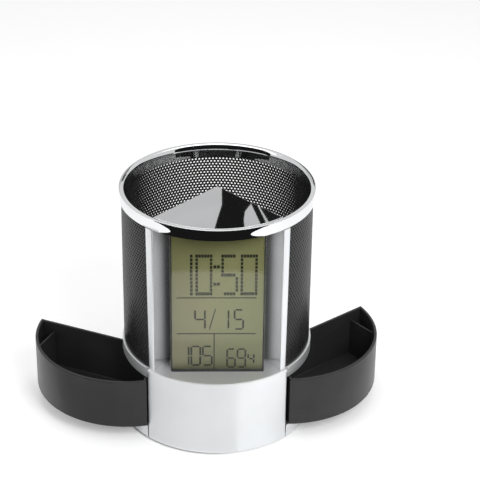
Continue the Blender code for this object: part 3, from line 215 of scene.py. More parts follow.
# Name, place, width and watts
LAMPS = [("key_lamp", (0.28, -0.52, 0.55), 0.35, 3.0), ("fill_lamp", (-0.55, -0.30, 0.45), 0.45, 0.7),
         ("top_lamp", (0.0, 0.15, 0.85), 0.60, 2.0)]
ROOM_LIGHT = 0.55
ROOM_PALE = (0.8, 0.8, 0.8, 1)
SQUARE = ((-1, -1), (1, -1), (1, 1), (-1, 1))
FLOOR_REACH = 3.0
FLOOR_GREY = (0.88, 0.88, 0.88, 1)
FLOOR_LIFT = 0.25
LIFT_EDGE = (BASE_RADIUS - 0.0002, BASE_RADIUS + 0.0006)
# Painted light under the base: none at the left end of this span, full at the right
PAINTED_LIGHT_ACROSS = (-0.014, 0.016)

# The dark card in front of the ring, a painted reflection for the ring's black middle: dip of the
# rays that the ring mirrors, in degrees, with what its bulge adds above and takes off below, and
# where the card ends on both sides
VIEW_DIP = 28.7
BULGE_DIP = 7.9
CARD_LEFT = math.radians(-141.3)
CARD_RIGHT = math.radians(-54.8)
TIP_SPREAD = math.radians(20)
CARD_ROWS = 13
CARD_COLUMNS = 24
CARD_HEIGHT = 0.002
CARD_WALL_HEIGHT = 0.85
RING_REFLECTION_BLACK = 0.01
# Pale greys, painted reflections that the left half of the band mirrors, and last the left strip:
# from and to on the band in degrees, nearest and farthest in front of it, value
BAND_CARD_HEIGHT = 0.001
BAND_CARD_POINTS = 5
BAND_BORDERS = (-140, -127, -118, -110, -102, -94, -88, -83, -78)
BAND_REFLECTION_GREYS = (0.76, 0.82, 0.85, 0.88, 0.90, 0.92, 0.95, 0.98)
BAND_CARDS = [(start, end, 0.001, 0.085, value)
              for start, end, value in zip(BAND_BORDERS, BAND_BORDERS[1:], BAND_REFLECTION_GREYS)]
BAND_CARDS.append((-140, -127, 0.085, 0.195, 0.82))
# Painted reflections that the hood mirrors: name, value, distance behind the nearest card, corners
# on the hood
HOOD_CARD_Y = 0.25
HOOD_REFLECTIONS = [
    ("hood_grey", 0.62, 0.010, [(-0.060, 0.010), (0.060, 0.010), (0.060, -0.060), (-0.060, -0.060)]),
    ("hood_dark", 0.012, 0.0,
     [(0.0022, 0.004), (0.0020, -0.020), (-0.0005, -0.036), (-0.0040, -0.060), (0.0130, -0.060),
      (0.0122, -0.036), (0.0130, -0.027), (0.0165, -0.018), (0.030, 0.004)]),
    ("hood_stripe", 0.012, 0.0,
     [(0.0145, -0.010), (0.0200, -0.040), (0.0230, -0.060), (0.0290, -0.060), (0.0230, -0.040),
      (0.0188, -0.019), (0.0180, -0.010)]),
    ("hood_corner", 0.015, 0.002,
     [(0.0198, -0.0190), (0.0205, -0.0240), (0.0245, -0.0400), (0.0400, -0.0400),
      (0.0400, -0.0100), (0.0198, -0.0100)])]


# Outlines in plan, anticlockwise, as arrays of (x, y)

def arc(centre, radius, start, end, step=FINE_STEP):
    """Points on a circle between two angles, both ends included."""
    count = max(2, math.ceil(abs(end - start) / step))
    turn = np.linspace(start, end, count + 1)
    return np.column_stack([centre[0] + radius * np.cos(turn), centre[1] + radius * np.sin(turn)])


def quarter(steps):
    """Angles of a quarter turn, both ends included."""
    return np.linspace(0, math.pi / 2, steps + 1)


def disc(radius, centre):
    """A full circle of points."""
    return arc(centre, radius, 0, math.tau)[:-1]


def chain(*parts):
    """Joins outlines end to end and drops points that repeat."""
    points = np.vstack([np.atleast_2d(part) for part in parts])
    apart = np.linalg.norm(points - np.roll(points, 1, axis=0), axis=1)
    return points[apart > 1e-7]


def angle_of(point, centre=(0, 0)):
    """The direction from the centre to the point."""
    return math.atan2(point[1] - centre[1], point[0] - centre[0])


def crossing(centre_a, radius_a, centre_b, radius_b, side):
    """Where two circles cross; side +1 or -1 picks the left or right one, seen from a to b."""
    a, b = np.array(centre_a, float), np.array(centre_b, float)
    apart = np.linalg.norm(b - a)
    ahead = (b - a) / apart
    along = (radius_a ** 2 - radius_b ** 2 + apart ** 2) / (2 * apart)
    across = side * math.sqrt(radius_a ** 2 - along ** 2)
    return a + along * ahead + across * np.array([-ahead[1], ahead[0]])


def polar_band(inner, outer, start, end, corner, steps=None):
    """A band between two radii, its four corners rounded: a rounded rectangle bent round the axis."""
    middle = (inner + outer) / 2
    turn = quarter(QUARTER_STEPS - 1)
    reach = corner / middle
    low, high = start + reach, end - reach
    sweep = np.linspace(low, high, (steps or max(2, math.ceil((high - low) / FINE_STEP))) + 1)
    outer_edge = np.column_stack([sweep, np.full(len(sweep), outer)])
    inner_edge = np.column_stack([sweep[::-1], np.full(len(sweep), inner)])
    end_out = np.column_stack([high + reach * np.sin(turn), outer - corner * (1 - np.cos(turn))])
    end_in = np.column_stack([high + reach * np.cos(turn), inner + corner * (1 - np.sin(turn))])
    start_in = np.column_stack([low - reach * np.sin(turn), inner + corner * (1 - np.cos(turn))])
    start_out = np.column_stack([low - reach * np.cos(turn), outer - corner * (1 - np.sin(turn))])
    bent = chain(outer_edge, end_out, end_in, inner_edge, start_in, start_out)
    return np.column_stack([bent[:, 1] * np.cos(bent[:, 0]), bent[:, 1] * np.sin(bent[:, 0])])


def inset(outline, distance):
    """The outline moved inwards: each point slides along the mitre of its two edges."""
    ahead = np.roll(outline, -1, axis=0) - outline
    ahead /= np.linalg.norm(ahead, axis=1)[:, None]
    behind = np.roll(ahead, 1, axis=0)
    left_ahead = np.column_stack([-ahead[:, 1], ahead[:, 0]])
    left_behind = np.column_stack([-behind[:, 1], behind[:, 0]])
    mitre = (left_ahead + left_behind) / (1 + (left_ahead * left_behind).sum(1))[:, None]
    return outline + distance * mitre


def side_profile(low, high, low_round, high_round):
    """(inset, height) pairs of a wall from low to high, its two edges quarter rounds."""
    turn = quarter(QUARTER_STEPS)
    foot = np.column_stack([low_round * (1 - np.sin(turn)), low + low_round * (1 - np.cos(turn))])
    head = np.column_stack([high_round * (1 - np.cos(turn)), high - high_round * (1 - np.sin(turn))])
    return chain(foot, head)


def lift(outline, height):
    """The points with one more coordinate, the same for all."""
    return np.column_stack([outline, np.full(len(outline), height)])


# Meshes

def new_object(name, data):
    """A new object in the scene."""
    piece = bpy.data.objects.new(name, data)
    bpy.context.scene.collection.objects.link(piece)
    return piece


def put_mesh(name, points, polygons, flat_from=math.inf):
    """A mesh from an array of points and arrays of faces with equal corner counts each. Faces are
    smooth up to number flat_from and flat after it."""
    corners = np.concatenate([part.ravel() for part in polygons])
    sizes = np.concatenate([np.full(len(part), part.shape[1]) for part in polygons])
    starts = np.concatenate([[0], np.cumsum(sizes)[:-1]])
    mesh = bpy.data.meshes.new(name)
    mesh.vertices.add(len(points))
    mesh.vertices.foreach_set("co", np.asarray(points, np.float32).ravel())
    mesh.loops.add(len(corners))
    mesh.loops.foreach_set("vertex_index", corners.astype(np.int32))
    mesh.polygons.add(len(sizes))
    mesh.polygons.foreach_set("loop_start", starts.astype(np.int32))
    mesh.update(calc_edges=True)
    mesh.validate()
    mesh.set_sharp_from_angle(angle=SHARP_ANGLE)
    mesh.polygons.foreach_set("use_smooth", np.arange(len(sizes)) < flat_from)
    return new_object(name, mesh)


def grid_quads(rows, columns, around=False):
    """Corner numbers of the quads of a grid of points; around closes each row into a loop."""
    index = np.arange(rows * columns).reshape(rows, columns)
    right = np.roll(index, -1, axis=1)
    quads = np.stack([index[:-1], right[:-1], right[1:], index[1:]], axis=-1)
    if not around:
        quads = quads[:, :-1]
    return quads.reshape(-1, 4)


def stack(name, rings):
    """A closed solid: equal rings of points joined one to the next, the first and last capped."""
    rings = np.asarray(rings, float)
    rows, columns = rings.shape[:2]
    index = np.arange(rows * columns).reshape(rows, columns)
    quads = grid_quads(rows, columns, around=True)
    return put_mesh(name, rings.reshape(-1, 3), [quads, index[:1, ::-1], index[-1:]], len(quads))


def tube(name, rings):
    """A closed shell without caps: equal rings joined one to the next and the last to the first."""
    rings = np.asarray(rings, float)
    rows, columns = rings.shape[:2]
    quads = grid_quads(rows + 1, columns, around=True) % (rows * columns)
    return put_mesh(name, rings.reshape(-1, 3), [quads])


def rounded_prism(name, outline, low, high, low_round=0.0, high_round=0.0):
    """An upright prism over an outline; its edges are quarter rounds set in from the outline."""
    rings = [lift(inset(outline, d), z) for d, z in side_profile(low, high, low_round, high_round)]
    return stack(name, rings)


def carve(piece, *tools, join=False):
    """Cuts tools away from a piece, or joins them to it, and drops the tools. Level faces stay
    flat, the others are smooth up to the sharp angle."""
    for tool in tools:
        step = piece.modifiers.new(tool.name, "BOOLEAN")
        step.operation = "UNION" if join else "DIFFERENCE"
        step.solver = "MANIFOLD"
        step.object = tool
    bpy.context.view_layer.update()
    ready = piece.evaluated_get(bpy.context.evaluated_depsgraph_get())
    mesh = bpy.data.meshes.new_from_object(ready)
    piece.modifiers.clear()
    piece.data = mesh
    for tool in tools:
        bpy.data.objects.remove(tool, do_unlink=True)
    heading = np.empty(len(mesh.polygons) * 3, np.float32)
    mesh.polygons.foreach_get("normal", heading)
    mesh.set_sharp_from_angle(angle=CUT_SHARP_ANGLE)
    mesh.polygons.foreach_set("use_smooth", np.abs(heading[2::3]) <= LEVEL_NORMAL)
    return piece


def dress(piece, material, slot, *replaced, body="base"):
    """Gives a new piece its finish, the nodes it stands for and its body. Its record slot is not used."""
    piece.data.materials.clear()
    piece.data.materials.append(material)
    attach(piece, body)
    if replaced:
        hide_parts(*replaced)


# Shader nodes. An input takes a socket or a plain value

def feed(tree, node, inputs):
    """Joins or writes each given value to the node's input of that name or number."""
    for label, value in inputs.items():
        if isinstance(value, bpy.types.NodeSocket):
            tree.links.new(value, node.inputs[label])
        else:
            node.inputs[label].default_value = value


def add(tree, kind, inputs, **settings):
    """A new node with its settings and inputs."""
    node = tree.nodes.new("ShaderNode" + kind)
    for label, value in settings.items():
        setattr(node, label, value)
    feed(tree, node, inputs)
    return node


def noise(tree, vector, scale, detail):
    """The value of a noise texture."""
    return add(tree, "TexNoise", {"Vector": vector, "Scale": scale, "Detail": detail}).outputs["Fac"]


def blend_value(tree, factor, low, high):
    """From low to high as the factor goes from 0 to 1."""
    return add(tree, "MapRange", {"Value": factor, "To Min": low, "To Max": high}).outputs["Result"]


def blend_colour(tree, factor, first, second, blend="MIX"):
    """The first colour mixed with the second, or multiplied by it, by the factor."""
    return add(tree, "Mix", {"Factor": factor, "A": first, "B": second},
               data_type="RGBA", blend_type=blend).outputs["Result"]


def ramp(tree, value, low, high):
    """0 to 1 as the value goes from low to high, clamped and eased."""
    return add(tree, "MapRange", {"Value": value, "From Min": low, "From Max": high},
               interpolation_type="SMOOTHSTEP").outputs["Result"]


def maths(tree, operation, first, second):
    """One operation on two values."""
    return add(tree, "Math", {0: first, 1: second}, operation=operation).outputs["Value"]


def mix_shaders(tree, factor, first, second):
    """The first shader at factor 0 and the second at 1."""
    return add(tree, "MixShader", {0: factor, 1: first, 2: second}).outputs["Shader"]


def split_place(tree, place):
    """The x, y and z of a place, as three sockets."""
    return add(tree, "SeparateXYZ", {"Vector": place}).outputs


def to_surface(tree, shader):
    """Joins a shader to the material's output."""
    feed(tree, tree.nodes["Material Output"], {"Surface": shader})


def moulded_skin_group():
    """Two tones mixed by broad cloudy handling marks, with a fine grain for roughness and height."""
    group = bpy.data.node_groups.new("moulded_skin", "ShaderNodeTree")
    for label, kind in (("Vector", "Vector"), ("Tone A", "Color"), ("Tone B", "Color"),
                        ("Cloud Scale", "Float"), ("Grain Scale", "Float"),
                        ("Rough Low", "Float"), ("Rough High", "Float")):
        group.interface.new_socket(label, in_out="INPUT", socket_type="NodeSocket" + kind)
    for label, kind in (("Color", "Color"), ("Roughness", "Float"), ("Height", "Float")):
        group.interface.new_socket(label, in_out="OUTPUT", socket_type="NodeSocket" + kind)
    given = group.nodes.new("NodeGroupInput").outputs
    cloud = noise(group, given["Vector"], given["Cloud Scale"], 3.0)
    grain = noise(group, given["Vector"], given["Grain Scale"], 2.0)
    mask = ramp(group, cloud, 0.35, 0.65)
    feed(group, group.nodes.new("NodeGroupOutput"), {
        "Color": blend_colour(group, mask, given["Tone A"], given["Tone B"]),
        "Roughness": blend_value(group, cloud, given["Rough Low"], given["Rough High"]),
        "Height": grain})
    return group


MOULDED_SKIN = moulded_skin_group()


def start_material(name):
    """A new material with its node tree, its shader and the place on the object."""
    material = bpy.data.materials.new(name)
    material.use_nodes = True
    tree = material.node_tree
    place = tree.nodes.new("ShaderNodeTexCoord").outputs["Object"]
    return material, tree, tree.nodes["Principled BSDF"], place


def skin(name, tone_a, tone_b, rough, metallic=0.0, cloud=60.0, grain=4000.0, bump=0.05, ior=1.5):
    """A finish of the moulded skin group: paint, plastic, rubber or metal by its values."""
    material, tree, shader, place = start_material(name)
    marks = add(tree, "Group", {
        "Vector": place, "Tone A": (*tone_a, 1), "Tone B": (*tone_b, 1), "Cloud Scale": cloud,
        "Grain Scale": grain, "Rough Low": rough[0], "Rough High": rough[1]}, node_tree=MOULDED_SKIN)
    relief = add(tree, "Bump", {"Strength": bump, "Distance": 0.0001, "Height": marks.outputs["Height"]})
    feed(tree, shader, {"Base Color": marks.outputs["Color"], "Roughness": marks.outputs["Roughness"],
                        "Normal": relief.outputs["Normal"], "Metallic": metallic, "IOR": ior})
    return material


def grey(value, warm=0.0):
    """A grey that a positive share turns warmer and a negative one cooler."""
    return (value * (1 + warm), value, value * (1 - warm))


def display_material():
    """Olive ground with painted light: lighter and warmer at the left as a painted reflection, darker
    towards the top as a painted shadow of the ring, dark at the foot as painted shade.
    """
    material, tree, shader, place = start_material("lcd_ground_and_painted_light")
    across, _, up = split_place(tree, place)
    # Painted reflection: the ground is lighter and warmer towards the left
    side = ramp(tree, across, *LCD_REFLECTION_ACROSS)
    ground = blend_colour(tree, side, LCD_LEFT_PAINTED_REFLECTION, LCD_RIGHT)
    # Painted shadow of the ring: the ground darkens towards the top
    with_top_shadow = blend_colour(tree, ramp(tree, up, *LCD_SHADOW_UP), ground, LCD_TOP_PAINTED_SHADOW)
    # Painted shade: the ground goes dark at the foot
    with_foot_shade = blend_colour(tree, ramp(tree, up, *LCD_FOOT_SHADE_SPAN), LCD_FOOT_PAINTED_SHADE, with_top_shadow)
    cloud = noise(tree, place, 900.0, 2.0)
    fine = ramp(tree, cloud, 0.0, 1.0)
    feed(tree, shader, {"Base Color": blend_colour(tree, 0.12, with_foot_shade, fine, "MULTIPLY"),
                        "Roughness": blend_value(tree, cloud, 0.45, 0.6), "IOR": 1.2})
    return material


def surround_material():
    """Matt plastic, pale in front, with painted shade that makes it dark where it meets the back of
    the column.
    """
    material, tree, shader, place = start_material("surround_plastic_painted_shade")
    # Painted shade: pale at the front, near black towards the back
    depth = ramp(tree, split_place(tree, place)["Y"], SHADE_START, SHADE_END)
    pale = blend_value(tree, noise(tree, place, 90.0, 2.0), 0.80, 0.88)
    feed(tree, shader, {"Base Color": blend_value(tree, depth, pale, 0.03), "Roughness": 0.6})
    return material


def clear_material():
    """Clear moulded plastic. Lamps shine through it, so the display behind stays lit."""
    material, tree, shader, place = start_material("clear_cover")
    rough = blend_value(tree, noise(tree, place, 55.0, 3.0), 0.0, 0.012)
    feed(tree, shader, {"Base Color": (0.97, 0.98, 0.97, 1), "Transmission Weight": 1.0,
                        "IOR": 1.36, "Roughness": rough})
    ray = add(tree, "LightPath", {}).outputs
    lamp_ray = maths(tree, "MAXIMUM", ray["Is Shadow Ray"], ray["Is Diffuse Ray"])
    through = add(tree, "BsdfTransparent", {}).outputs["BSDF"]
    to_surface(tree, mix_shaders(tree, lamp_ray, shader.outputs["BSDF"], through))
    return material


def board_material():
    """Green solder mask with paler tracks, from a brick pattern turned to face the board."""
    material, tree, shader, place = start_material("solder_mask")
    turned = add(tree, "Mapping", {"Rotation": (math.pi / 2, 0, 0), "Vector": place})
    bricks = add(tree, "TexBrick", {
        "Scale": 260.0, "Mortar Size": 0.03, "Color1": (0.03, 0.16, 0.06, 1),
        "Color2": (0.035, 0.20, 0.08, 1), "Mortar": (0.08, 0.30, 0.12, 1),
        "Vector": turned.outputs["Vector"]})
    feed(tree, shader, {"Base Color": bricks.outputs["Color"],
                        "Roughness": blend_value(tree, bricks.outputs["Fac"], 0.3, 0.5)})
    return material


PAINT = {"cloud": 35.0, "grain": 3000.0}
SILVER = skin("silver_paint", grey(0.80, -0.02), grey(0.77, -0.02), (0.27, 0.31), metallic=0.8,
              bump=0.02, **PAINT)
COLUMN_SILVER = skin("column_paint", grey(0.82, -0.01), grey(0.79, -0.01), (0.17, 0.20), metallic=0.85,
                     bump=0.01, **PAINT)
LEDGE_SILVER = skin("ledge_paint", grey(0.80, -0.01), grey(0.77, -0.01), (0.30, 0.34), metallic=0.65,
                    bump=0.02, **PAINT)
CHROME = skin("chrome_plate", grey(0.80, -0.01), grey(0.76, -0.01), (0.012, 0.030), metallic=1.0,
              cloud=40.0, grain=600.0, bump=0.002)
MESH_BLACK = skin("mesh_paint", grey(0.012), grey(0.018), (0.30, 0.42), cloud=120.0, bump=0.08,
                  ior=1.38)
DRAWER_BLACK = skin("drawer_plastic", grey(0.022), grey(0.028), (0.30, 0.38), cloud=45.0,
                    grain=5000.0, ior=1.36)
COVER_BLACK = skin("cover_plastic", grey(0.022), grey(0.030), (0.42, 0.55), cloud=70.0,
                   grain=2500.0, bump=0.25)
STEEL = skin("screw_steel", grey(0.55), grey(0.62), (0.24, 0.34), metallic=1.0, cloud=400.0)
BRASS = skin("contact_brass", (0.78, 0.60, 0.28), (0.70, 0.52, 0.24), (0.25, 0.4), metallic=1.0,
             cloud=300.0)
RUBBER = skin("foot_rubber", grey(0.022), grey(0.035), (0.7, 0.85), cloud=200.0, grain=3000.0, bump=0.4)
WHITE = skin("button_plastic", (0.80, 0.80, 0.76), (0.74, 0.74, 0.70), (0.38, 0.48), cloud=150.0)
LEAD_RED = skin("lead_cover", (0.55, 0.03, 0.025), (0.48, 0.02, 0.02), (0.35, 0.45), cloud=300.0)
READOUT = skin("readout_ink", (0.016, 0.018, 0.010), (0.024, 0.026, 0.016), (0.4, 0.5), cloud=500.0,
               ior=1.2)
READOUT_FAINT = skin("readout_faint", (0.04, 0.042, 0.024), (0.05, 0.052, 0.03), (0.45, 0.55),
                     cloud=500.0, ior=1.2)
DISPLAY = display_material()
CLEAR = clear_material()
BOARD = board_material()
SURROUND = surround_material()

SLOT_FINISH = {
    "silver_plastic": SILVER, "black_plastic": COVER_BLACK, "black_mesh": MESH_BLACK,
    "chrome": CHROME, "steel": STEEL, "brass": BRASS, "rubber": RUBBER, "clear_lens": CLEAR,
    "lcd_glass": DISPLAY, "white_plastic": WHITE, "circuit_board": BOARD, "red_wire": LEAD_RED}


def finish_nodes():
    """Every CAD node gets the finish of its record slot."""
    for part in frame["record"]["subparts"]:
        for place in frame["nodes"][part["node"]].material_slots:
            place.material = SLOT_FINISH[part["material_slot"]]


# Base

def notched_disc(radius, notch_half, notch_radius):
    """A disc whose front edge steps in to a smaller radius behind the band."""
    wide = math.asin(notch_half / radius)
    narrow = math.asin(notch_half / notch_radius)
    return chain(arc((0, 0), radius, FRONT + wide, FRONT + math.tau - wide),
                 arc((0, 0), notch_radius, FRONT - narrow, FRONT + narrow))


def base_plate():
    """The tray under the drawers: a notched disc hollowed from below, with soft edges."""
    plate = rounded_prism("base_tray", notched_disc(BASE_RADIUS, *NOTCH), BASE_LOW.z, BASE_HIGH.z,
                          FINE_EDGE, SOFT_EDGE)
    inside = notched_disc(BASE_RADIUS - BASE_WALL, NOTCH[0] + BASE_WALL, NOTCH[1] - BASE_WALL)
    cavity = rounded_prism("base_cavity", inside, BASE_LOW.z - OVERRUN, BASE_HIGH.z - BASE_SKIN)
    dress(carve(plate, cavity), SILVER, "silver_plastic", "base_plate")


def deck():
    """The cup's floor: a notched disc with a soft upper edge, two half-moon pockets below and a
    round seat for the column above."""
    plate = rounded_prism("cup_floor", notched_disc(DECK_RADIUS, *NOTCH), DECK_LOW.z, DECK_HIGH.z,
                          FINE_EDGE, BAND_CORNER)
    reach = NOTCH[1] - BASE_WALL
    turn = math.acos((DIVIDER_HALF + RUNNING_GAP) / reach)
    half_moon = arc((0, 0), reach, -turn, turn)
    tools = [rounded_prism(f"pocket_{side}", moon, DECK_LOW.z - OVERRUN, DECK_LOW.z + DECK_SKIRT)
             for side, moon in enumerate((half_moon, half_moon[::-1] * (-1, 1)))]
    tools.append(rounded_prism("column_seat", disc(TROUGH_RADIUS + TROUGH_WALL + GAP, TROUGH_CENTRE),
                               HOUSING_LOW.z + DECK_HIGH.z - SEAT_SINK, DECK_HIGH.z + OVERRUN))
    dress(carve(plate, *tools), LEDGE_SILVER, "silver_plastic", "deck")


# Front moulding

def front_moulding():
    """Band, ledge, concave column and edge strips, as separate closed pieces that meet. The strips
    widen evenly from foot to top."""
    ledge_low = LEDGE_TOP - LEDGE_THICKNESS
    start, end = FRONT - BAND_HALF, FRONT + BAND_HALF
    band = rounded_prism("front_band", polar_band(BAND_INNER, BASE_RADIUS, start, end, BAND_CORNER),
                         HOUSING_LOW.z, ledge_low, FINE_EDGE, 0)
    dress(band, SILVER, *OF_HOUSING)
    back = TROUGH_RADIUS + TROUGH_WALL / 2
    meet = crossing((0, 0), BAND_INNER, TROUGH_CENTRE, back, -1)
    left, right = sorted((tuple(meet), (-meet[0], meet[1])))
    ledge = chain(arc((0, 0), BASE_RADIUS, start, end),
                  arc((0, 0), BAND_INNER, end, angle_of(right)),
                  arc(TROUGH_CENTRE, back, angle_of(right, TROUGH_CENTRE), angle_of(left, TROUGH_CENTRE)),
                  arc((0, 0), BAND_INNER, angle_of(left), start))
    top = rounded_prism("front_ledge", ledge, ledge_low, LEDGE_TOP, 0, SOFT_EDGE)
    dress(top, LEDGE_SILVER, *OF_HOUSING)
    edge = crossing((0, 0), STRIP_OUTER - FINE_EDGE, TROUGH_CENTRE, TROUGH_RADIUS, 1)
    turn = angle_of(edge, TROUGH_CENTRE)
    low, high = sorted((turn, math.pi - turn))
    column = polar_band(TROUGH_RADIUS, TROUGH_RADIUS + TROUGH_WALL, low, high, FINE_EDGE) + TROUGH_CENTRE
    trough = rounded_prism("column_trough", column, LEDGE_TOP - SOFT_EDGE, HOUSING_HIGH.z - GAP)
    dress(trough, COLUMN_SILVER, *OF_HOUSING)
    for side, name in ((-1, "column_strip_left"), (1, "column_strip_right")):
        rings = []
        for depth, z in side_profile(LEDGE_TOP - FINE_EDGE, HOUSING_HIGH.z, 0, FINE_EDGE):
            share = (z - LEDGE_TOP) / (HOUSING_HIGH.z - LEDGE_TOP)
            outer = STRIP_FOOT_HALF + (STRIP_TOP_HALF - STRIP_FOOT_HALF) * share
            span = sorted(FRONT + side * math.asin(half / STRIP_OUTER)
                          for half in (STRIP_INNER_HALF, outer))
            plan = polar_band(STRIP_INNER, STRIP_OUTER, *span, BAND_CORNER, steps=4)
            rings.append(lift(inset(plan, depth), z))
        dress(stack(name, rings), SILVER, *OF_HOUSING)


# Cup wall

def perforated_wall():
    """The rolled sheet of staggered round holes, in three pieces one above the other."""
    thirds = [0, HOLE_ROWS // 3, 2 * HOLE_ROWS // 3, HOLE_ROWS]
    for name, first, last in zip(("cup_mesh_low", "cup_mesh_middle", "cup_mesh_top"), thirds, thirds[1:]):
        low = MESH_LOW.z if first == 0 else HOLES_LOW + first * ROW_HEIGHT
        high = MESH_HIGH.z if last == HOLE_ROWS else HOLES_LOW + last * ROW_HEIGHT
        dress(perforated_sheet(name, first, last, low, high), MESH_BLACK, "black_mesh", "mesh_wall")


def perforated_sheet(name, first, last, low, high):
    """One piece of the sheet with hole rows first to last, closed all round.

    Flat (s, z) points come first. Row lines hold a point every half pitch, so each hole sits in a
    brick with three points on its lower and three on its upper line. The flat points are bent onto
    two cylinders, each brick's border is joined to its hole on both faces, and the faces by the
    holes' walls and a rim."""
    side = (MESH_LENGTH - HOLE_COLUMNS * HOLE_PITCH) / 2
    halves = side + np.arange(2 * HOLE_COLUMNS + 1) * HOLE_PITCH / 2
    s_line = np.concatenate([[0.0], halves, [MESH_LENGTH]])
    z_line = HOLES_LOW + np.arange(first, last + 1) * ROW_HEIGHT
    plain_low, plain_high = low < z_line[0] - 1e-6, high > z_line[-1] + 1e-6
    z_all = np.concatenate([[low] if plain_low else [], z_line, [high] if plain_high else []])
    line_s, line_z = np.meshgrid(s_line, z_all)
    index = np.arange(line_s.size).reshape(line_s.shape)
    lines = index[1 if plain_low else 0:]
    spare = len(s_line) - 1

    def strip_quads(below, above, left):
        """Quads between two row lines, given by their left points."""
        return np.stack([below[left], below[left + 1], above[left + 1], above[left]], 1)

    centres, bricks, plain = [], [], []
    for row in range(last - first):
        shift = (first + row) % 2
        left = 1 + shift + 2 * np.arange(HOLE_COLUMNS - shift)
        below, above = lines[row], lines[row + 1]
        bricks.append(np.stack([below[left + 2], above[left + 2], above[left + 1], above[left],
                                below[left], below[left + 1]], axis=1))
        centres.append(lift(s_line[left + 1], (z_line[row] + z_line[row + 1]) / 2))
        ends = [0, 1, spare - 2, spare - 1] if shift else [0, spare - 1]
        plain.append(strip_quads(below, above, np.array(ends)))
    for row in ([0] if plain_low else []) + ([len(z_all) - 2] if plain_high else []):
        plain.append(strip_quads(index[row], index[row + 1], np.arange(spare)))
    bricks, centres, plain = np.vstack(bricks), np.vstack(centres), np.vstack(plain)
    turn = (np.arange(HOLE_CORNERS) + 0.5) * math.tau / HOLE_CORNERS
    circle = centres[:, None, :] + HOLE_RADIUS * np.stack([np.cos(turn), np.sin(turn)], 1)[None]
    flat = np.vstack([np.column_stack([line_s.ravel(), line_z.ravel()]), circle.reshape(-1, 2)])
    hole = line_s.size + np.arange(len(centres) * HOLE_CORNERS).reshape(-1, HOLE_CORNERS)
    # Border point k of a brick, counted from the lower right, is joined to hole corners 2k-3 and
    # 2k-2, counted from the right
    quads, wedges = [], []
    for k in range(6):
        near = (2 * k - 2) % HOLE_CORNERS
        one, two = (near + 1) % HOLE_CORNERS, (near + 2) % HOLE_CORNERS
        along = bricks[:, (k + 1) % 6]
        quads.append(np.stack([bricks[:, k], along, hole[:, one], hole[:, near]], 1))
        wedges.append(np.stack([along, hole[:, two], hole[:, one]], 1))
    quads, wedges = np.vstack(quads), np.vstack(wedges)
    total = len(flat)

    def bend(radius):
        """The flat points on a cylinder."""
        around = MESH_START + flat[:, 0] / MESH_RADIUS
        return np.column_stack([radius * np.cos(around), radius * np.sin(around), flat[:, 1]])

    points = np.vstack([bend(MESH_RADIUS), bend(MESH_RADIUS - MESH_WALL)])
    next_corner = np.roll(hole, -1, axis=1)
    walls = np.stack([hole, next_corner, next_corner + total, hole + total], axis=-1).reshape(-1, 4)
    rim = np.concatenate([index[0, :-1], index[:-1, -1], index[-1, :0:-1], index[:0:-1, 0]])
    rim_quads = np.stack([rim + total, np.roll(rim, -1) + total, np.roll(rim, -1), rim], 1)
    outer = [quads, plain]
    inner = [part[:, ::-1] + total for part in outer]
    return put_mesh(name, points, outer + inner + [walls, rim_quads, wedges, wedges[:, ::-1] + total])


# Ring and hood

def ring():
    """A closed profile turned round the axis: outer wall with a slight bulge, round top edge,
    slope inwards, skirt, and a slot for the mesh. The skirt ends higher above the column."""
    top, foot, skirt = RING_HIGH.z, RING_LOW.z + RING_SKIRT, RING_LOW.z
    outer = RING_RADIUS
    share = np.linspace(-1, 1, RING_WALL_POINTS)
    half = (top - RING_ROUND - foot) / 2
    wall = np.column_stack([outer - RING_BULGE * share ** 2, foot + half * (1 + share)])
    bend = quarter(RING_ROUND_STEPS)[1:]
    round_r = outer - RING_BULGE - RING_ROUND * (1 - np.cos(bend))
    edge = np.column_stack([round_r, top - RING_ROUND * (1 - np.sin(bend))])
    slope = np.array([outer, top]) - RING_SLOPE
    slot_roof = top - RING_SLOT_ROOF
    below = np.array([[outer - SKIRT_INSIDE, skirt], [outer - SKIRT_OUTSIDE, skirt],
                      [outer - RING_SLOT_INSIDE, foot], [outer - RING_SLOT_INSIDE, slot_roof],
                      [outer - RING_SLOT_OUTSIDE, slot_roof]])
    profile = np.vstack([wall, edge, slope, below])
    around = np.linspace(0, math.tau, RING_STEPS + 1)[:-1]
    radius = np.repeat(profile[:, :1], len(around), axis=1)
    height = np.repeat(profile[:, 1:], len(around), axis=1)
    from_front = np.abs((around - FRONT + math.pi) % math.tau - math.pi)
    height = np.where((height < foot) & (from_front < OVER_COLUMN)[None], foot, height)
    points = np.stack([radius * np.cos(around), radius * np.sin(around), height], axis=-1)
    dress(tube("chrome_ring", points), CHROME, "chrome", "rim_ring")


def sector(inset_by, reach):
    """A sector about the axis, its straight sides set in, closed by an arc."""
    s, c = math.sin(HOOD_HALF), math.cos(HOOD_HALF)
    along = math.sqrt(reach ** 2 - inset_by ** 2)
    right = (along * s - inset_by * c, -along * c - inset_by * s)
    left = (-right[0], right[1])
    return chain(arc((0, 0), reach, angle_of(left), angle_of(right)), (0, -inset_by / s))


def hood():
    """The flat chrome sector over the column, with soft edges and a hollow underside."""
    cap = rounded_prism("chrome_hood", sector(0, HOOD_REACH), HOOD_LOW.z, HOOD_HIGH.z, 0, FINE_EDGE)
    hollow = rounded_prism("hood_hollow", sector(HOOD_SKIRT, HOOD_REACH - HOOD_SKIRT),
                           HOOD_LOW.z - OVERRUN, HOOD_HIGH.z - HOOD_PLATE)
    dress(carve(cap, hollow), CHROME, "chrome", "hood")


# Drawers

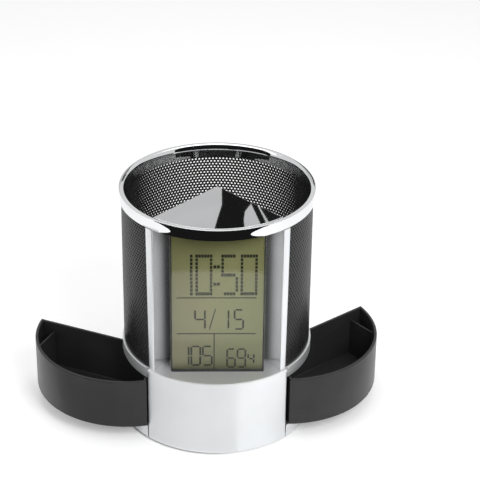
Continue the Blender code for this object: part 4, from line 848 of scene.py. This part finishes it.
def drawer_outlines(pivot):
    """Outer and inner edge of the closed left drawer about the base's centre: rim arc, stop notch,
    boss round the pivot, front arc, nose and straight chord along the divider."""
    centre = (-pivot[0], -pivot[1])
    chord = DIVIDER_HALF + RUNNING_GAP
    front = math.hypot(*pivot) + PIVOT_BOSS_RADIUS

    def stop_corner(offset, radius):
        """Where the notch's straight side, this far from the pivot, meets a circle about the axis."""
        spot = np.array(centre) - offset * np.array([math.cos(OPEN_STOP), -math.sin(OPEN_STOP)])
        heading = np.array([-math.sin(OPEN_STOP), -math.cos(OPEN_STOP)])
        near = spot @ heading
        return spot + (math.sqrt(near ** 2 - spot @ spot + radius ** 2) - near) * heading

    corner = stop_corner(STOP_OFFSET, DECK_RADIUS)
    lean = math.acos(STOP_OFFSET / PIVOT_BOSS_RADIUS)
    boss_start = math.pi + lean - OPEN_STOP
    boss_end = math.pi + math.atan2(pivot[1], pivot[0])
    nose_radius = pivot[0] - chord
    nose = crossing((0, 0), front, centre, nose_radius, 1)
    outer = chain(arc((0, 0), DECK_RADIUS, math.acos(-chord / DECK_RADIUS), angle_of(corner) % math.tau),
                  arc(centre, PIVOT_BOSS_RADIUS, boss_start, boss_end, COARSE_STEP),
                  arc((0, 0), front, boss_end, angle_of(nose) % math.tau)[1:],
                  arc(centre, nose_radius, angle_of(nose, centre), 0)[1:])
    rim, wide = DECK_RADIUS - DRAWER_WALL, chord + DRAWER_WALL
    bend = STOP_OFFSET + DRAWER_WALL
    corner = stop_corner(bend, rim)
    root = crossing((0, 0), front - DRAWER_WALL, centre, bend, 1)
    nose = crossing((0, 0), front - DRAWER_WALL, centre, nose_radius - DRAWER_WALL, 1)
    inner = chain(arc((0, 0), rim, math.acos(-wide / rim), angle_of(corner) % math.tau),
                  arc(centre, bend, math.pi - OPEN_STOP, angle_of(root, centre), COARSE_STEP),
                  arc((0, 0), front - DRAWER_WALL, angle_of(root) % math.tau,
                      angle_of(nose) % math.tau)[1:],
                  arc(centre, nose_radius - DRAWER_WALL, angle_of(nose, centre), 0)[1:])
    return outer, inner, chord


def drawer(body, mirrored):
    """A D-shaped tray with a cross rib: outer wall with soft rim, hollow with a flared mouth and a
    filleted floor. It is made closed and turned open about its pivot."""
    joint = HINGES[body + "_hinge"]
    pivot = (abs(joint["pos_m"][0]), abs(joint["pos_m"][1]))
    opened = math.radians(-joint["range_deg"][0])
    outer, inner, chord = drawer_outlines(pivot)
    low, high = DRAWER_LOW.z, DRAWER_HIGH.z
    tray = rounded_prism(body + "_tray", outer, low, high, SOFT_EDGE, DRAWER_RIM)
    mouth = high - DRAWER_FLARE
    fillet = side_profile(low + DRAWER_FLOOR, mouth, BAND_CORNER, 0)
    turn = quarter(QUARTER_STEPS - 1)[1:]
    flare = np.column_stack([-DRAWER_FLARE * (1 - np.cos(turn)), mouth + DRAWER_FLARE * np.sin(turn)])
    levels = np.vstack([fillet, flare, [[-DRAWER_FLARE, high + OVERRUN]]])
    carve(tray, stack(body + "_hollow", [lift(inset(inner, d), z) for d, z in levels]))
    rib_y = math.sqrt(DECK_RADIUS ** 2 - chord ** 2) - RIB_FROM_BACK
    far = -math.sqrt((DECK_RADIUS - DRAWER_WALL / 2) ** 2 - rib_y ** 2)
    near = -chord - DRAWER_WALL / 2
    rib = np.array([(far, rib_y - RIB_WALL), (near, rib_y - RIB_WALL), (near, rib_y), (far, rib_y)])
    carve(tray, rounded_prism(body + "_rib", rib, low + DRAWER_FLOOR / 2, high - RIB_BELOW_RIM,
                              0, FINE_EDGE), join=True)
    points = np.empty(len(tray.data.vertices) * 3, np.float32)
    tray.data.vertices.foreach_get("co", points)
    about = np.array([-pivot[0], -pivot[1], 0])
    cos, sin = math.cos(opened), math.sin(opened)
    spin = np.array([[cos, -sin, 0], [sin, cos, 0], [0, 0, 1]])
    points = (points.reshape(-1, 3) - about) @ spin.T + about
    if mirrored:
        points[:, 0] *= -1
        tray.data.flip_normals()
    tray.data.vertices.foreach_set("co", points.astype(np.float32).ravel())
    tray.data.update()
    dress(tray, DRAWER_BLACK, "black_plastic", body, body=body)


# Display

def display_panel():
    """The display right out to the cover's thin side walls."""
    back, front = PANEL_HIGH.y, PANEL_LOW.y
    around = [(-DISPLAY_HALF, front), (DISPLAY_HALF, front), (DISPLAY_HALF, back), (-DISPLAY_HALF, back)]
    piece = rounded_prism("display_panel", np.array(around), DISPLAY_FOOT, PANEL_HIGH.z)
    dress(piece, DISPLAY, "lcd_glass", "lcd_panel")


def lens():
    """Clear cover: front wall and sides, one closed shell; rings run from its inner face outwards.
    Behind the display's face follow a thin black edge and a surround with painted shade inwards."""
    split = PANEL_LOW.y
    x, low, high = LENS_HIGH.x, LENS_LOW.z, LENS_HIGH.z
    front, back = LENS_LOW.y, LENS_HIGH.y
    corners = [(x, low, 1, 1, -math.pi / 2), (x, high, 1, -1, 0),
               (-x, high, -1, -1, math.pi / 2), (-x, low, -1, 1, math.pi)]
    outline = chain(*(arc((cx - COVER_CORNER * right, cz + COVER_CORNER * up), COVER_CORNER,
                          start, start + math.pi / 2, COVER_CORNER_STEP)
                      for cx, cz, right, up, start in corners))
    # Drawn in by scaling, so that its corners stay round
    middle = (0, (low + high) / 2)
    reach = np.array([x, (high - low) / 2])
    inner = (outline - middle) * (reach - COVER_WALL) / reach + middle

    def upright(flat, y):
        """Flat (x, z) points at one depth."""
        return np.column_stack([flat[:, 0], np.full(len(flat), y), flat[:, 1]])

    rings = [upright(inner, front + COVER_FACE), upright(inner, split)]
    rings += [upright(inset(outline, depth), -forward)
              for depth, forward in side_profile(-split, -front, 0, SOFT_EDGE)]
    dress(stack("clear_cover", rings), CLEAR, "clear_lens", "display_lens")
    for name, near, far, finish in (("display_edge", split, split + DISPLAY_EDGE, COVER_BLACK),
                                    ("display_surround", split + DISPLAY_EDGE, back, SURROUND)):
        rings = [upright(inner, near), upright(inner, far), upright(outline, far), upright(outline, near)]
        dress(tube(name, rings), finish, *OF_HOUSING)


def tiles(name, spans, material):
    """Small flat tiles on the display, all in one mesh: each from (x, z) corners of its face."""
    back, front = PANEL_LOW.y + READOUT_SINK, PANEL_LOW.y - READOUT_HEIGHT
    quad = np.asarray(spans, float)
    count = len(quad)
    near = np.concatenate([quad[..., :1], np.full((count, 4, 1), front), quad[..., 1:]], axis=2)
    far = near.copy()
    far[..., 1] = back
    points = np.concatenate([near, far], axis=1).reshape(-1, 3)
    sides = [[k, k + 4, (k + 1) % 4 + 4, (k + 1) % 4] for k in range(4)]
    one = np.array([[0, 1, 2, 3], [7, 6, 5, 4]] + sides)
    faces = (one + np.arange(count)[:, None, None] * 8).reshape(-1, 4)
    dress(put_mesh(name, points, [faces], 0), material, "lcd_glass")


def rectangle(x, z, width, height):
    """Corners of an upright tile centred on (x, z), anticlockwise seen from the front."""
    return [(x + right * width / 2, z + up * height / 2) for right, up in SQUARE]


def dotted_number(text, x):
    """Dots of a large number; x is the column of its first dots, and the top row is the time's."""
    return [rectangle(x + i * DOT_PITCH[0], TIME_TOP - j * DOT_PITCH[1], *DOT_SIZE)
            for j, row in enumerate(DOT_ROWS[text]) for i, on in enumerate(row) if on == "1"]


def segment_number(text, x, z, width, height):
    """Seven-segment strokes of a small number, its lower left corner at (x, z)."""
    gap = STROKE_WIDTH * 0.6
    across = (width - 2 * gap, STROKE_WIDTH)
    tall = (STROKE_WIDTH, height / 2 - 1.5 * gap)
    low, middle, high = z + height / 4, z + height / 2, z + height * 3 / 4
    places = {"a": (x + width / 2, z + height, *across), "g": (x + width / 2, middle, *across),
              "d": (x + width / 2, z, *across), "f": (x, high, *tall), "b": (x + width, high, *tall),
              "e": (x, low, *tall), "c": (x + width, low, *tall)}
    return [rectangle(*places[name]) for name in SEGMENTS[text]]


def readout():
    """Time in large dots, date and temperature in thin strokes, and the lines between them."""
    dots = [dot for text, x in TIME_DIGITS for dot in dotted_number(text, x)]
    dots += [rectangle(x, z, COLON_WIDTH, DOT_SIZE[1]) for z in COLON_ROWS for x in COLON_COLUMNS]
    strokes = [stroke for digit in SMALL_DIGITS for stroke in segment_number(*digit)]
    tiles("readout_time", dots, READOUT)
    tiles("readout_lines", [rectangle(*line) for line in FIELD_LINES], READOUT_FAINT)
    tiles("readout_numbers", strokes + [DATE_SLASH], READOUT)


# Room

def area_lamp(name, place, size, watts):
    """A square soft lamp that faces the object's middle."""
    data = bpy.data.lights.new(name, "AREA")
    data.size = size
    data.energy = watts
    lamp = new_object(name, data)
    lamp.location = place
    aim = Vector((0, 0, HOUSING_HIGH.z / 2)) - Vector(place)
    lamp.rotation_euler = aim.to_track_quat("-Z", "Y").to_euler()


def world():
    """Pale for the camera and in gloss and glass, a softer grey as light on matt faces."""
    room = bpy.data.worlds.new("room")
    bpy.context.scene.world = room
    room.use_nodes = True
    tree = room.node_tree
    lit = tree.nodes["Background"]
    feed(tree, lit, {"Color": (1, 1, 1, 1), "Strength": ROOM_LIGHT})
    seen = add(tree, "Background", {"Color": ROOM_PALE})
    ray = add(tree, "LightPath", {}).outputs
    seen_ray = maths(tree, "MAXIMUM", ray["Is Camera Ray"], ray["Is Glossy Ray"])
    seen_ray = maths(tree, "MAXIMUM", seen_ray, ray["Is Transmission Ray"])
    mixed = mix_shaders(tree, seen_ray, lit.outputs["Background"], seen.outputs["Background"])
    feed(tree, tree.nodes["World Output"], {"Surface": mixed})


def stage_material(piece):
    """A new material without its usual shader on a stage piece; gives its node tree."""
    material = bpy.data.materials.new(piece.name)
    material.use_nodes = True
    tree = material.node_tree
    tree.nodes.remove(tree.nodes["Principled BSDF"])
    piece.data.materials.append(material)
    return tree


def floor():
    """A pale floor that keeps the shadow; the camera sees it lifted to white, and only from above.
    Under the base a painted light lifts it towards the right only, as of the key lamp reaching under,
    so that the gap at the feet is dark at the left and fades out to the right."""
    piece = put_mesh("floor", lift(FLOOR_REACH * np.array(SQUARE), 0), [np.array([[0, 1, 2, 3]])], 0)
    tree = stage_material(piece)
    cloth = add(tree, "BsdfDiffuse", {"Color": FLOOR_GREY}).outputs["BSDF"]
    place = tree.nodes.new("ShaderNodeTexCoord").outputs["Object"]
    away = add(tree, "VectorMath", {0: place}, operation="LENGTH").outputs["Value"]
    # The lift, with a painted light under the base at the right
    share = maths(tree, "MAXIMUM", ramp(tree, away, *LIFT_EDGE),
                  ramp(tree, split_place(tree, place)["X"], *PAINTED_LIGHT_ACROSS))
    glow = add(tree, "Emission", {"Strength": maths(tree, "MULTIPLY", share, FLOOR_LIFT)})
    ray = add(tree, "LightPath", {}).outputs
    seen_ray = maths(tree, "MAXIMUM", ray["Is Camera Ray"], ray["Is Glossy Ray"])
    both = add(tree, "AddShader", {0: cloth, 1: glow.outputs["Emission"]}).outputs["Shader"]
    seen = mix_shaders(tree, seen_ray, cloth, both)
    below = add(tree, "NewGeometry", {}).outputs["Backfacing"]
    clear = add(tree, "BsdfTransparent", {}).outputs["BSDF"]
    to_surface(tree, mix_shaders(tree, below, seen, clear))


def put_reflection_card(name, points, faces, value):
    """A card that shows only in gloss and in the clear cover, a painted reflection: it gives them their
    tones.
    """
    piece = put_mesh(name, points, [faces], 0)
    tree = stage_material(piece)
    to_surface(tree, add(tree, "Emission", {"Color": (value, value, value, 1)}).outputs["Emission"])
    piece.visible_camera = piece.visible_diffuse = piece.visible_shadow = False


def ring_cards():
    """A dark card in front, a painted reflection for the black middle of the ring: each row of its
    points is what the ring mirrors at one dip of the mirrored ray. The sides curve inwards, so that
    the white parts of the ring end in round tips. It goes on upwards as a wall, more of the same
    painted reflection."""
    share = np.linspace(-1, 1, CARD_ROWS)
    reach = RING_RADIUS + RING_LOW.z / np.tan(np.radians(VIEW_DIP - BULGE_DIP * share))
    rows = []
    # Half a column less in the step, so that rounding adds none
    for radius, extra in zip(reach, TIP_SPREAD * share ** 2):
        start, end = CARD_LEFT - extra, CARD_RIGHT + extra
        rows.append(arc((0, 0), radius, start, end, (end - start) / (CARD_COLUMNS - 0.5)))
    put_reflection_card("front_card", lift(np.vstack(rows), CARD_HEIGHT), grid_quads(CARD_ROWS, CARD_COLUMNS + 1),
             RING_REFLECTION_BLACK)
    foot = lift(rows[-1], 0.0)
    put_reflection_card("front_wall", np.vstack([foot, foot + (0, 0, CARD_WALL_HEIGHT)]),
             grid_quads(2, CARD_COLUMNS + 1), RING_REFLECTION_BLACK)


def band_cards():
    """Painted reflections, as strips of floor, that the band mirrors: from a spot at angle a on the band
    the mirrored ray goes off along (-sin 2a, cos 2a), so their borders are upright lines in the band."""
    for index, (start, end, near, far, value) in enumerate(BAND_CARDS):
        turn = np.radians(np.linspace(start, end, BAND_CARD_POINTS))
        root = BASE_RADIUS * np.column_stack([np.cos(turn), np.sin(turn)])
        along = np.column_stack([-np.sin(2 * turn), np.cos(2 * turn)])
        edges = np.vstack([root + along * near, root + along * far])
        put_reflection_card(f"band_card_{index}", lift(edges, BAND_CARD_HEIGHT), grid_quads(2, BAND_CARD_POINTS),
                 value)


def hood_cards():
    """Cards, painted reflections that the camera sees in the flat hood as shapes with the given (x, y)
    corners. The corners are sent from the mirrored camera through the hood to an upright plane behind."""
    mirrored = np.array([CAMERA_PLACE.x, CAMERA_PLACE.y, 2 * HOOD_HIGH.z - CAMERA_PLACE.z])
    for name, value, behind, spots in HOOD_REFLECTIONS:
        rays = np.array([(x, y, HOOD_HIGH.z) for x, y in spots]) - mirrored
        reach = (HOOD_CARD_Y + behind - mirrored[1]) / rays[:, 1]
        put_reflection_card(name, mirrored + rays * reach[:, None], np.arange(len(spots))[None], value)


def camera():
    """The photograph's viewpoint, fitted to the rims of the object."""
    ahead = (CAMERA_TARGET - CAMERA_PLACE).normalized()
    right = ahead.cross(Vector((0, 0, 1))).normalized()
    up = right.cross(ahead)
    side = math.cos(CAMERA_ROLL) * right + math.sin(CAMERA_ROLL) * up
    head = math.cos(CAMERA_ROLL) * up - math.sin(CAMERA_ROLL) * right
    data = bpy.data.cameras.new("camera")
    data.lens = CAMERA_LENS
    data.sensor_width = 36
    data.clip_end = 20
    view = new_object("camera", data)
    turned = Matrix((side, head, -ahead)).transposed().to_4x4()
    view.matrix_world = Matrix.Translation(CAMERA_PLACE) @ turned
    bpy.context.scene.camera = view


camera()
bpy.context.scene.view_settings.view_transform = "Standard"
world()
floor()
ring_cards()
band_cards()
hood_cards()
for lamp in LAMPS:
    area_lamp(*lamp)
finish_nodes()
base_plate()
deck()
front_moulding()
perforated_wall()
ring()
hood()
drawer("left_drawer", mirrored=False)
drawer("right_drawer", mirrored=True)
display_panel()
lens()
readout()
